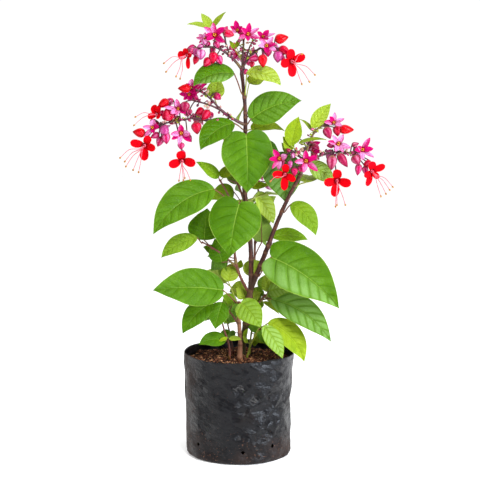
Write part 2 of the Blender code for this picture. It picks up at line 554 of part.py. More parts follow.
def star_solid(place, direction, radius, lobes, turn, outline, cup):
    """An open calyx or corolla: its rim follows one lobe's outline, lobe after lobe."""
    side, other = cone_frame(direction)
    verts = [place + direction * radius * 0.05, place - direction * radius * 0.40]
    count = lobes * len(outline)
    for lobe in range(lobes):
        for share, reach, lift in outline:
            angle = math.radians(turn + 90 + 360 * (lobe + share) / lobes)
            rim = (side * math.cos(angle) + other * math.sin(angle)) * reach + direction * lift * cup
            verts.append(place + rim * radius)
    faces = []
    for i in range(count):
        j = (i + 1) % count
        faces.append((0, 2 + i, 2 + j))
        faces.append((1, 2 + j, 2 + i))
    return [tuple(v) for v in verts], faces


def bud_solid(place, direction, length, width, sides=5):
    """A plump bud, blunt at the stalk and drawn to a point."""
    side, other = cone_frame(direction)
    verts = [place - direction * length * 0.5]
    for share, reach in ((-0.22, 0.9), (0.12, 1.0)):
        for i in range(sides):
            turn = 2 * math.pi * i / sides
            rim = (side * math.cos(turn) + other * math.sin(turn)) * width * 0.5 * reach
            verts.append(place + direction * length * share + rim)
    verts.append(place + direction * length * 0.5)
    faces = []
    for i in range(sides):
        j = (i + 1) % sides
        faces.append((0, 1 + j, 1 + i))
        faces.append((1 + i, 1 + j, 1 + sides + j, 1 + sides + i))
        faces.append((1 + sides + i, 1 + sides + j, 1 + 2 * sides))
    return [tuple(v) for v in verts], faces


def stamen_line(head, place, direction, spread):
    """Where a stamen bends and where it ends: outward from the throat, then off along its trail."""
    turn = math.radians(head.trail + spread)
    trail = np.array((math.cos(turn), -0.15, math.sin(turn)))
    knee = place + unit(trail + direction * 0.7) * head.reach * 0.35
    return knee, place + trail * head.reach


def head_solids(head):
    """A head with its pedicel, and for a bloom its tube and the stamens that trail from it."""
    place, direction = np.array(head.place), heading(head.azimuth, head.rise)
    solids = []
    if head.kind == "bud":
        solids.append(bud_solid(place, direction, head.size, BUD_WIDTH))
        back = place - direction * head.size * 0.42
    elif head.kind == "star":
        solids.append(star_solid(place, direction, head.size, head.lobes, head.turn, SEPAL, 0.25))
        back = place - direction * head.size * 0.35
    else:
        solids.append(star_solid(place, direction, head.size, head.lobes, head.turn, PETAL, 0.10))
        back = place - direction * head.size * 1.1 + UP * head.size * 0.35
        solids.append(tube((back, place - direction * 0.0005), (BLOOM_TUBE_BACK, BLOOM_TUBE_THROAT), 5))
        for spread in (-head.spread, head.spread):
            knee, tip = stamen_line(head, place, direction, spread)
            solids.append(tube((place - direction * 0.001, knee, tip), (STAMEN_RADIUS,) * 3, 3))
    twig = nearest_on_twigs(head.cluster, back)
    middle = (twig + back) / 2 + UP * 0.0015
    solids.append(tube((twig, middle, back), (PEDICEL_RADIUS, PEDICEL_RADIUS * 0.9, PEDICEL_RADIUS), 3))
    return solids


# ---------------------------------------------------------------- objects
def new_material(name, colour, roughness, metallic=0.0):
    material = bpy.data.materials.new(name)
    material.use_nodes = True
    shader = material.node_tree.nodes["Principled BSDF"]
    shader.inputs["Base Color"].default_value = (*colour, 1.0)
    shader.inputs["Roughness"].default_value = roughness
    shader.inputs["Metallic"].default_value = metallic
    material.diffuse_color = (*colour, 1.0)
    return material


def new_object(name, verts, faces, material):
    mesh = bpy.data.meshes.new(name)
    mesh.from_pydata([tuple(float(c) for c in v) for v in verts], [], faces)
    mesh.validate()
    mesh.materials.append(material)
    thing = bpy.data.objects.new(name, mesh)
    bpy.context.scene.collection.objects.link(thing)
    mend(thing)
    return thing


def mend(thing):
    """Outward faces, in triangles."""
    shape = bmesh.new()
    shape.from_mesh(thing.data)
    bmesh.ops.triangulate(shape, faces=shape.faces[:])
    bmesh.ops.recalc_face_normals(shape, faces=shape.faces[:])
    shape.to_mesh(thing.data)
    shape.free()


def remove(thing):
    bpy.data.objects.remove(thing, do_unlink=True)


def apply_boolean(thing, operation, others, solver):
    """One Boolean against a collection of objects, applied; the objects are then removed."""
    group = bpy.data.collections.new(thing.name + "_" + operation.lower())
    for other in others:
        group.objects.link(other)
    modifier = thing.modifiers.new(operation.title(), "BOOLEAN")
    modifier.operation = operation
    modifier.operand_type = "COLLECTION"
    modifier.collection = group
    modifier.solver = solver
    graph = bpy.context.evaluated_depsgraph_get()
    mesh = bpy.data.meshes.new_from_object(thing.evaluated_get(graph))
    thing.modifiers.clear()
    thing.data = mesh
    for other in others:
        remove(other)
    bpy.data.collections.remove(group)


def tidy_body(thing):
    """Triangulate, and keep only the outer skin of the largest piece."""
    shape = bmesh.new()
    shape.from_mesh(thing.data)
    bmesh.ops.triangulate(shape, faces=shape.faces[:])
    shape.faces.ensure_lookup_table()
    seen, pieces = set(), []
    for face in shape.faces:
        if face.index in seen:
            continue
        stack, piece = [face], []
        seen.add(face.index)
        while stack:
            current = stack.pop()
            piece.append(current)
            for edge in current.edges:
                for other in edge.link_faces:
                    if other.index not in seen:
                        seen.add(other.index)
                        stack.append(other)
        pieces.append(piece)
    pieces.sort(key=lambda piece: -sum(abs(face.calc_area()) for face in piece))
    for piece in pieces[1:]:
        bmesh.ops.delete(shape, geom=piece, context="FACES")
    shape.to_mesh(thing.data)
    shape.free()


def new_cutter(name, verts, faces, material):
    cutter = new_object(name, verts, faces, material)
    cutter.hide_render = True
    cutter.display_type = "WIRE"
    return cutter


def parent_cutters(limb, material):
    """The parent limb grown by the seat gap, to part a limb from what it springs from."""
    parents = [LIMBS[limb.parent]]
    if limb.name == "right_bough":
        parents.append(LIMBS["leader"])
    cutters = []
    for parent in parents:
        solid = limb_solid(parent, CUTTER_SIDES, CUTTER_STEPS, CUTTER_GAP)
        cutters.append(new_cutter("cut_" + parent.name, *solid, material))
    return cutters


def fused(name, solids, material, limb=None):
    """All the solids of a mass joined in one union, then parted from the limb it springs from."""
    things = [new_object(name, *solids[0], material)]
    for index, solid in enumerate(solids[1:]):
        things.append(new_object(f"{name}_{index}", *solid, material))
    if len(things) > 1:
        apply_boolean(things[0], "UNION", things[1:], "MANIFOLD")
    if limb is not None and limb.parent:
        apply_boolean(things[0], "DIFFERENCE", parent_cutters(limb, material), "MANIFOLD")
    tidy_body(things[0])
    return things[0]


def bag_radius(z):
    """The bag's outside radius at a height: two straight runs that meet at half height."""
    middle = BAG_FOOT_RADIUS * 0.3 + BAG_RIM_RADIUS * 0.7
    if z < BAG_HEIGHT / 2:
        climb = (z - BAG_CORNER) / (BAG_HEIGHT / 2 - BAG_CORNER)
        return BAG_FOOT_RADIUS + (middle - BAG_FOOT_RADIUS) * climb
    return middle + (BAG_RIM_RADIUS - middle) * (z / BAG_HEIGHT * 2 - 1)


def build_bag(material):
    """The bag: a flat-bottomed drum of film, open at the top, with drain holes round its foot."""
    profile = (
        (BAG_FOOT_RADIUS - BAG_CORNER, 0.0),
        (BAG_FOOT_RADIUS - BAG_CORNER * 0.3, BAG_CORNER * 0.3),
        (BAG_FOOT_RADIUS, BAG_CORNER),
        (bag_radius(BAG_HEIGHT / 2), BAG_HEIGHT / 2),
        (BAG_RIM_RADIUS, BAG_HEIGHT),
        (BAG_RIM_RADIUS - BAG_WALL, BAG_HEIGHT),
        (bag_radius(BAG_HEIGHT / 2) - BAG_WALL, BAG_HEIGHT / 2),
        (BAG_FOOT_RADIUS - BAG_WALL, BAG_CORNER),
        (BAG_FOOT_RADIUS - BAG_CORNER * 0.3 - BAG_WALL, BAG_CORNER * 0.3 + BAG_WALL * 0.4),
        (BAG_FOOT_RADIUS - BAG_CORNER, BAG_WALL),
    )
    rings = []
    for radius, z in profile:
        turns = [2 * math.pi * i / BAG_SIDES for i in range(BAG_SIDES)]
        rings.append([(radius * math.cos(t), radius * math.sin(t), z) for t in turns])
    bag = new_object("grow_bag", *loft(rings), material)
    cutters = []
    for index in range(DRAIN_HOLES):
        turn = math.radians(DRAIN_TURN + 360 * index / DRAIN_HOLES - 90)
        out = np.array((math.cos(turn), math.sin(turn), 0.0))
        side = np.array((-math.sin(turn), math.cos(turn), 0.0))
        rings = []
        for reach in (BAG_FOOT_RADIUS - DRAIN_CUT, BAG_FOOT_RADIUS + DRAIN_CUT):
            middle = out * reach + UP * DRAIN_HEIGHT
            ways = (side, UP, -side, -UP)
            rings.append([middle + way * DRAIN_WIDTH / 2 for way in ways])
        cutters.append(new_cutter(f"drain_{index}", *loft(rings), material))
    apply_boolean(bag, "DIFFERENCE", cutters, "MANIFOLD")
    tidy_body(bag)
    return bag


def build_mix(material):
    """The potting mix, filling the bag to a little below its rim."""
    inner = BAG_WALL + SEAT_GAP
    edge = MIX_LEVEL - MIX_FALL
    profile = (
        (BAG_FOOT_RADIUS - BAG_CORNER * 1.2 - inner, inner),
        (BAG_FOOT_RADIUS - BAG_CORNER * 0.4 - inner, inner + BAG_CORNER * 0.4),
        (bag_radius(BAG_CORNER) - inner, BAG_CORNER * 1.3),
        (bag_radius(BAG_HEIGHT / 2) - inner - 0.0001, BAG_HEIGHT / 2),
        (bag_radius(edge) - inner - 0.0001, edge),
        (MIX_FLAT_RADIUS, MIX_LEVEL),
    )
    rings = []
    for radius, z in profile:
        turns = [2 * math.pi * i / BAG_SIDES for i in range(BAG_SIDES)]
        rings.append([(radius * math.cos(t), radius * math.sin(t), z) for t in turns])
    return new_object("potting_mix", *loft(rings), material)


def shade_smooth(thing):
    for polygon in thing.data.polygons:
        polygon.use_smooth = True


def main():
    for thing in list(bpy.data.objects):
        remove(thing)
    film = new_material("bag_film", (0.025, 0.027, 0.030), 0.42)
    mix = new_material("coir_mix", (0.13, 0.06, 0.035), 0.95)
    bark = new_material("dark_bark", (0.16, 0.10, 0.08), 0.75)
    old_wood = new_material("pale_bark", (0.40, 0.29, 0.18), 0.80)
    foliage = new_material("leaf_green", (0.10, 0.26, 0.05), 0.55)
    blossom = new_material("calyx_pink", (0.75, 0.10, 0.25), 0.60)

    build_bag(film)
    build_mix(mix)
    for limb in STEMS:
        sides, steps = (10, 8) if limb.name in ("trunk", "woody_stub") else (8, 14)
        solid = limb_solid(limb, sides, steps)
        if limb.name == "leader":
            stem = raised_foot(solid, sides, limb)
            shade_smooth(new_object(limb.name, *stem, bark))
        else:
            shade_smooth(fused(limb.name, [solid], old_wood if limb.name == "woody_stub" else bark, limb))
    for leaf in STEM_LEAVES:
        shade_smooth(new_object(leaf.name, *leaf_solid(leaf, sunk=False), foliage))
    heads = all_heads()
    twigs = SHOOTS + SPRAYS
    for limb in twigs:
        if cluster_of(limb.name) != limb.name:
            continue
        mates = [other for other in twigs if cluster_of(other.name) == limb.name]
        names = {mate.name for mate in mates}
        solids = []
        for mate in mates:
            sides, steps = (6, 6) if mate in SHOOTS else (5, 3)
            solids.append(limb_solid(mate, sides, steps))
        solids += [leaf_solid(leaf, sunk=True) for leaf in TWIG_LEAVES if leaf.limb in names]
        for head in heads:
            if head.cluster == limb.name:
                solids += head_solids(head)
        leafy = limb in SHOOTS
        name = limb.name.replace("shoot", "foliage")
        shade_smooth(fused(name, solids, foliage if leafy else blossom, limb))


main()
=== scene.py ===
"""A glorybower shrub in flower, in its nursery grow bag: the looks around the packed frame.

Metres, +Z up, the bag's flat underside on z = 0 and the plant's front towards -Y. The limbs,
leaves and flower heads stand where the frame's solids stand, by the same rule, and are made
here in full: bark with its relief, leaves with their veins, flowers with their stamens.
"""

import json
import math
import random
from typing import NamedTuple

import bpy
import numpy as np
from bpy.props import FloatProperty, FloatVectorProperty, IntProperty, PointerProperty
from bpy.types import Operator, Panel, PropertyGroup
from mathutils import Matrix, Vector

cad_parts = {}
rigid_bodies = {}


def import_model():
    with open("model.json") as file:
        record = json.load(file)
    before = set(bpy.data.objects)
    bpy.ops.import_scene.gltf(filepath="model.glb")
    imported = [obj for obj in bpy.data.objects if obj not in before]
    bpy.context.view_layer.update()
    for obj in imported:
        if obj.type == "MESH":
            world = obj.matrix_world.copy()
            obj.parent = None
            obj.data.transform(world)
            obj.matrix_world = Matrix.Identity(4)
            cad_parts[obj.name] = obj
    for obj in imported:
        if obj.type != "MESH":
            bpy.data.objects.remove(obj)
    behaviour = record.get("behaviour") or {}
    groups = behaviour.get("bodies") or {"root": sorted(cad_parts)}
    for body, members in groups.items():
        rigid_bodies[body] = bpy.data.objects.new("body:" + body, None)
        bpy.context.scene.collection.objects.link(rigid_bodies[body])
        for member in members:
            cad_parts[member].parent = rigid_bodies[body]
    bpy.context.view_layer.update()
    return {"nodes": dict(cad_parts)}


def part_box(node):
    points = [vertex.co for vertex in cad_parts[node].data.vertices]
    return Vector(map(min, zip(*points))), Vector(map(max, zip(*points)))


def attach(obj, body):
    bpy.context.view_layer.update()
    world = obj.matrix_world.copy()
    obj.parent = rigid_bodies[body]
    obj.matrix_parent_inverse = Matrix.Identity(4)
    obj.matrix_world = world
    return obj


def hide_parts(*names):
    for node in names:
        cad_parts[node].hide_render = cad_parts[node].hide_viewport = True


bl_info = {
    "name": "Glorybower in a grow bag",
    "version": (1, 0, 0),
    "blender": (4, 5, 0),
    "location": "3D View > Sidebar > Plant",
    "description": "Builds a potted glorybower shrub in flower, piece by piece",
    "category": "Add Mesh",
}

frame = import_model()
BAG_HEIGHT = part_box("grow_bag")[1].z
BAG_RIM_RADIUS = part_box("grow_bag")[1].x
MIX_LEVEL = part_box("potting_mix")[1].z

# ---------------------------------------------------------------- driving sizes
UP = np.array((0.0, 0.0, 1.0))
RIPPLE_WAVES = 9

# the film of the bag: its foot, its drain holes, the folds in front and the slack ones elsewhere
BAG_FOOT_RADIUS = 0.0720
BAG_CORNER = 0.006
FILM = 0.0006
FILM_ROWS = (132, 40)
FOOT_LEVELS = (0.0, 0.0008, 0.002, 0.004)
FILM_FLOOR = FILM + 0.002
RIM_SAG = 0.0007
BULGE = 0.0012
DRAIN_HOLES = 8
DRAIN_TURN = -46.5
DRAIN_HEIGHT = 0.0205
DRAIN_WIDTH = 0.0060
DRAIN_CUT = 0.004
DRAIN_SLIPS = (
    (-3.1, 0.0021), (5.6, -0.0025), (-3.9, 0.0020), (1.5, 0.0),
    (-2.5, 0.0012), (3.0, -0.0010), (-1.0, 0.0), (2.0, 0.0015),
)
FOLD_TURN = -1.113
FOLD_LEVEL = 0.0747
FOLD_MIDDLE = 0.076
FOLD_HALF_WIDTH = 0.030
FOLD_HALF_HEIGHT = 0.048
SLACK_WIDTH = 0.058
SLACK_HEIGHT = 0.036
SLACK_DEPTH = 0.0034

# the potting mix and the chips strewn on it
BED_RINGS = 34
BED_SIDES = 96
BED_DROP = 0.0042
BED_HEAP = 0.003
BED_HOLLOWS = 0.0009
BED_HOLLOW_WIDTH = 0.03
BED_FLOOR = 0.0035
BED_GAP = 0.0002
BED_TUCK = (0.016, 0.0030)
CHIP_SEED = 5
CHIP_MARGIN = 0.0045
CHIP_LIFT = (-0.0002, 0.0022)
CHIP_SIZES = (0.5, 1.35)
CHIP_PALE = (0.10, 0.16)
CHIP_BROWN = 0.62

# limbs and their bark
SEAT_GAP = 0.0003
ROOT_FLARE = 0.35
ROOT_FLARE_FADE = 14
ROOT_SUNK = 0.004
JOINT_SPREAD = 0.0022
FURROWS = 7
FURROW_LENGTH = 0.016
STUB_JOINTS = (0.22, 0.42, 0.62, 0.86, 0.97)
TWIG_STOUT = (1.2, 1.25)

# pitch and sides of a limb's mesh, swelling at its joints, depth of its furrows
STEM_BARK = (0.0014, 28, 0.15, 0.028)
STUB_BARK = (0.0012, 28, 0.16, 0.035)
SHOOT_BARK = (0.0020, 14, 0.22, 0.02)
TWIG_BARK = (0.0014, 12, 0.16, 0.02)
GREEN_SHOOTS = ("foot_right_shoot", "foot_back_shoot")

# leaf blades: the fullness of their outline, their mesh and their gloss
HEART = 0.42
HEART_ROUND = 0.60
HEART_TAPER = 1.20
TAPER = 1.15
VEIN_PAIRS = 7
BIG_LEAF = 0.045
BIG_LEAF_MESH = (72, 11)
SMALL_LEAF_MESH = (36, 6)
MIDRIB_STEPS = 48
RIB_SPAN = (0.02, 0.72)
RIB_POINTS = 8
YOUNG_INSIDE = 0.6
LEAF_GLOSS = {"lime": 0.38, "fresh": 0.30, "mid": 0.27, "deep": 0.30}

# flowers: lobes, buds with the collars at their feet, blooms
SEPALS = 5
LOBE_COLUMNS = 7
SEPAL_ROWS = 9
STAR_ROWS = 11
STAR_THICKNESS = 0.0004
STAR_FACING = (-92, 10)
STAR_TURNED = 1.5
PETAL_ROWS = 15
BUD_LENGTH = 0.0160
BUD_WIDTH = 0.0110
BUD_SEED = 500
BUD_BLUNT = 0.68
BUD_RIBS = 5
DEEP_RIBS = 0.07
SMOOTH_RIBS = 0.035
BUD_MESH = (13, 20)
BEAD_MESH = (5, 6)
COLLAR_LENGTH = 0.014
COLLAR_BACK = 0.38
COLLAR_SIZE = 0.62
COLLAR_OPENING = 0.55
THROAT_GRAINS = 4
HEAD_FEET = {"bud": (0.46, 0.0), "star": (0.34, 0.0), "bloom": (1.1, 0.35)}
BLOOM_SEED = 100
BLOOM_CALYX = (0.0040, 0.0125, 0.0088)
TUBE_RADII = (0.0014, 0.0021)
THROAT_SIZE = 0.0030
STAMEN_OUT = 0.0065
STAMEN_FORWARD = (-0.010, -0.002)

# small buds and bracts along the twigs, and the heads on the far side
FORK_SHARES = np.linspace(0.15, 1.0, 18)
SPECK_SEED = 17
SPECK_SPACING = 0.0026
SPECK_SPACING_TOP = 0.0040
SPECK_SHARE = 0.76
SPECK_SIZES = (0.0028, 0.0064)
SPECK_STALKS = (0.0015, 0.0050)
BRACT_EXTRA = 0.003
HEAD_SEED = 7
BACK_HEAD_START = 0.35
BACK_HEAD_SWING = 65
BACK_HEAD_RISE = (-25, 40)
BACK_HEAD_REACH = (0.014, 0.022)
BACK_STAR_EVERY = 3
BACK_STAR_SIZE = (0.010, 0.013)
BACK_BUD_NOD = 40

# the studio
FLOOR_HALF = 4.0
CAMERA_SIDE = 0.0013
SWEEP = (-0.45, 0.35)
WHITE = (1.0, 1.0, 1.0)

# each lamp's place, the point it faces, its size and its colour
LAMPS = {
    "key": ((0.55, -1.35, 1.75), (0.0, 0.0, 0.30), 0.7, WHITE),
    "edge": ((1.42, -1.22, 0.62), (0.0, 0.0, 0.12), 0.85, (0.80, 0.88, 1.0)),
    "fill": ((-1.4, -1.0, 0.9), (0.0, 0.0, 0.30), 1.2, WHITE),
    "top": ((-0.2, 0.5, 1.7), (0.0, 0.0, 0.35), 0.8, WHITE),
}


class Limb(NamedTuple):
    """A stem or twig: where it leaves its parent, its tip, its bow and sway, its radii."""

    name: str
    parent: str
    at: float
    tip: tuple
    arch: float
    sway: float
    waves: float
    foot_radius: float
    tip_radius: float


class Leaf(NamedTuple):
    """One leaf: its node, its stalk (azimuth, rise, length) and its blade, whose face swing turns right."""

    name: str
    limb: str
    at: float
    stalk_azimuth: float
    stalk_rise: float
    stalk: float
    azimuth: float
    rise: float
    length: float
    width: float
    droop: float
    tilt: float
    fullness: float = 0.62
    swing: float = 0.0


class Head(NamedTuple):
    """One flower head: its cluster, kind, place, facing and radius."""

    cluster: str
    kind: str
    place: tuple
    azimuth: float
    rise: float
    size: float


class Bud(NamedTuple):
    """A closed bud as seen from the front: its way from the right hand round, and its lean forward."""

    cluster: str
    place: tuple
    way: float
    lean: float
    length: float
    width: float
    tone: str


# what the tables give in millimetres
MEASURES = {
    Limb: ("tip", "arch", "sway", "foot_radius", "tip_radius"),
    Leaf: ("stalk", "length", "width"),
    Head: ("place", "size"),
    Bud: ("place", "length", "width"),
}


def metres(value):
    """Millimetres as metres: one number, or the three of a point."""
    return tuple(number / 1000 for number in value) if isinstance(value, tuple) else value / 1000


def rows_of(kind, table):
    """Each row of a table as one of its kind, with its measures in metres."""
    made = (kind(*row) for row in table)
    names = MEASURES[kind]
    return tuple(one._replace(**{name: metres(getattr(one, name)) for name in names}) for one in made)


def clustered(kind, table):
    """Rows that stand under the name of their cluster, each as one of its kind."""
    return rows_of(kind, ((cluster, *row) for cluster, rows in table for row in rows))


# name, parent, at, tip, arch, sway, waves, foot radius, tip radius
STEMS = rows_of(Limb, (
    ("trunk", "", 0, (15.5, 0, 226), 0, 0, 1, 4.3, 3.7),
    ("leader", "trunk", 1, (3.6, 0, 516), 0, 2.6, 3, 3.3, 2.4),
    ("right_bough", "trunk", 0.97, (82, -20, 384), 3, 1, 2, 3.4, 2.4),
    ("woody_stub", "", 0, (0, -12, 211), 0, 0.8, 2, 3.1, 2.4),
))

SHOOTS = rows_of(Limb, (
    ("left_shoot", "trunk", 0.92, (-26, -2, 375), 0, -7.5, 2, 2, 1.1),
    ("left_side_twig", "left_shoot", 0.24, (-50, -12, 292), 3, 0, 1, 1.4, 1),
    ("low_right_shoot", "trunk", 0.70, (36, 4, 218), -3, 0, 1, 1.6, 1.1),
    ("low_left_shoot", "woody_stub", 0.52, (-25, -14, 206), 4, 0, 1, 1.4, 1),
    ("foot_left_shoot", "", 0, (-24, -14, 188), 2, 1, 2, 1.6, 1),
    ("foot_right_shoot", "", 0, (27, -22, 176), 2, 0, 1, 1.2, 1),
    ("foot_back_shoot", "", 0, (23, 30, 190), 2, 0, 1, 1.4, 1),
    ("foot_rear_shoot", "", 0, (-20, 34, 185), 2, 0, 1, 1.3, 1),
    ("back_shoot", "trunk", 0.88, (30, 50, 330), 2, 2, 2, 2, 1.1),
    ("rear_left_shoot", "leader", 0.30, (-20, 40, 425), 2, 2, 2, 1.8, 1),
))

SPRAYS = rows_of(Limb, (
    ("blossom_top", "leader", 1, (4.5, 1, 525), 0, 0, 1, 2.2, 2),
    ("top_left", "blossom_top", 0.50, (-28, -10, 550), 3, 0, 1, 1.7, 1.2),
    ("top_fork", "top_left", 0.55, (-17, -12, 555), 0, 0, 1, 1.1, 0.9),
    ("top_outer", "top_left", 0.98, (-68, -15, 546), 3, 0, 1, 1.2, 0.8),
    ("top_sprig", "top_left", 0.90, (-37, 14, 574), 0, 0, 1, 1, 0.8),
    ("top_middle", "blossom_top", 0.95, (6.2, 4, 561), 0, 0, 1, 1.4, 1),
    ("top_right", "blossom_top", 0.75, (29, -6, 550), 3, 0, 1, 1.6, 1.1),
    ("top_upright", "top_right", 0.30, (19, -4, 560), 2, 0, 1, 1, 0.8),
    ("top_right_outer", "top_right", 0.98, (62, -12, 543), 4, 0, 1, 1.1, 0.8),
    ("top_back", "blossom_top", 0.85, (6, 36, 548), 4, 0, 1, 1.4, 0.9),
    ("back_spray", "back_shoot", 0.97, (19, 88, 406), 4, 0, 1, 1.2, 0.9),
    ("back_spray_side", "back_spray", 0.55, (-4, 90, 396), 3, 0, 1, 1, 0.8),
    ("blossom_left_upper", "leader", 0.765, (-28, -10, 472), -2, 0, 1, 1.9, 1.4),
    ("left_upper_high", "blossom_left_upper", 0.98, (-52, -12, 493), 2, 0, 1, 1.2, 0.9),
    ("left_upper_low", "blossom_left_upper", 0.80, (-58, -14, 480), 2, 0, 1, 1.2, 0.8),
    ("blossom_left_lower", "leader", 0.66, (-37, -15, 456), -4, 0, 1, 1.7, 1.3),
    ("left_lower_outer", "blossom_left_lower", 0.98, (-104, -20, 450), 4, 1, 2, 1.3, 0.8),
    ("left_lower_back", "blossom_left_lower", 0.85, (-64, 16, 456), 2, 0, 1, 1.1, 0.8),
    ("blossom_right", "right_bough", 1, (85, -20, 405), 0, 0, 1, 2, 1.6),
    ("right_upper", "blossom_right", 0.97, (107, -20, 447), 3, 1, 2, 1.4, 0.9),
    ("right_inner", "blossom_right", 0.92, (72, -26, 415), 0, 0, 1, 1.3, 0.9),
    ("right_back", "blossom_right", 0.90, (90, 8, 420), 2, 0, 1, 1.2, 0.8),
    ("right_outer", "blossom_right", 0.32, (115, -20, 411), 3, 0, 1, 1.5, 1.2),
    ("right_outer_arm", "right_outer", 0.97, (151, -20, 411), 3, 0, 1, 1.2, 0.8),
))
LIMBS = {limb.name: limb for limb in STEMS + SHOOTS + SPRAYS}

# where the limbs that rise from the mix stand on it
FEET = {
    "trunk": (0.0035, 0.0100),
    "woody_stub": (0.0010, -0.0120),
    "foot_left_shoot": (-0.0130, -0.0120),
    "foot_right_shoot": (0.0110, -0.0080),
    "foot_back_shoot": (0.0140, 0.0180),
    "foot_rear_shoot": (-0.0080, 0.0180),
}

# name, limb, at, stalk azimuth, stalk rise, stalk length, azimuth, rise, length, width, droop, tilt
STEM_LEAVES = rows_of(Leaf, (
    ("leaf_top_left", "leader", 0.91, -149, 60, 28, -154, -15, 64, 38, 55, 45, 0.90),
    ("leaf_top_right", "leader", 0.905, -69, 70, 28, -26, -18, 54, 27, 55, 45, 0.85),
    ("leaf_high_right", "leader", 0.77, -39, 35, 9, -5, 20, 73, 45, 40, 62, 0.75),
    ("leaf_high_left", "leader", 0.745, -146, 26, 17, -146, -32, 66, 36, 60, 52, 0.88),
    ("leaf_high_back", "leader", 0.74, 42, 3, 9, 25, -4, 52, 22, 60, 40),
    ("leaf_top_under", "leader", 0.885, 52, 63, 20, 29, 14, 26, 22, 30, 40),
    ("leaf_heart_high", "leader", 0.70, -86, 24, 17, -77, -85, 79, 68, 25, 60, HEART),
    ("leaf_behind_right", "leader", 0.66, 19, -2, 22, 30, -27, 32, 34, 30, 50),
    ("leaf_heart_low", "leader", 0.40, -110, 9, 23, -125, -73, 74, 70, 25, 60, HEART),
    ("leaf_mid_right", "leader", 0.385, 43, 43, 20, 21, -57, 50, 30, 35, 40),
    ("leaf_mid_far_right", "leader", 0.41, 25, 16, 30, 41, -11, 36, 22, 30, 10),
    ("leaf_dark_centre", "leader", 0.14, 43, 47, 26, 91, 62, 42, 30, 20, -50),
    ("leaf_behind_trunk", "leader", 0.07, 140, 7, 9, 11, 17, 34, 24, 20, 60),
    ("leaf_back_high", "leader", 0.72, 74, -20, 15, 85, -26, 62, 40, 50, 20),
    ("leaf_back_middle", "leader", 0.45, 78, -30, 18, 108, -38, 86, 44, 50, 20),
    ("leaf_back_right", "right_bough", 0.22, 35, 13, 29, 54, -27, 95, 46, 50, 30),
    ("leaf_back_left", "trunk", 0.80, 150, 33, 39, 136, -11, 91, 44, 50, 30),
    ("leaf_back_bough", "right_bough", 0.90, 40, 8, 18, 80, 0, 60, 34, 50, 20),
    ("leaf_back_top", "leader", 0.80, 51, 21, 22, 55, 4, 71, 30, 50, 20),
    ("leaf_bough_back", "right_bough", 0.99, 154, 39, 43, -25, -78, 68, 54, 25, 60, 0.72),
    ("leaf_bough_front", "right_bough", 0.68, -38, 35, 15, -29, -47, 57, 28, 60, 60, 0.75),
    ("leaf_bough_side", "right_bough", 0.39, 27, 60, 9, 14, -6, 52, 23, 45, 50, 0.80),
    ("leaf_bough_small", "right_bough", 0.33, 60, 21, 17, 27, -31, 20, 14, 30, 40),
    ("leaf_largest", "right_bough", 0.14, -44, 46, 34, -23, -33, 118, 69, 34, 60, HEART),
    ("leaf_big_left", "woody_stub", 0.96, -140, 38, 33, -161, 3, 98, 54, 20, 62, 0.74),
    ("leaf_yellow", "woody_stub", 0.98, 156, 60, 30, 66, 50, 30, 24, 20, 60),
    ("leaf_front", "woody_stub", 0.93, -80, 22, 13, -44, -37, 48, 34, 25, 62),
))

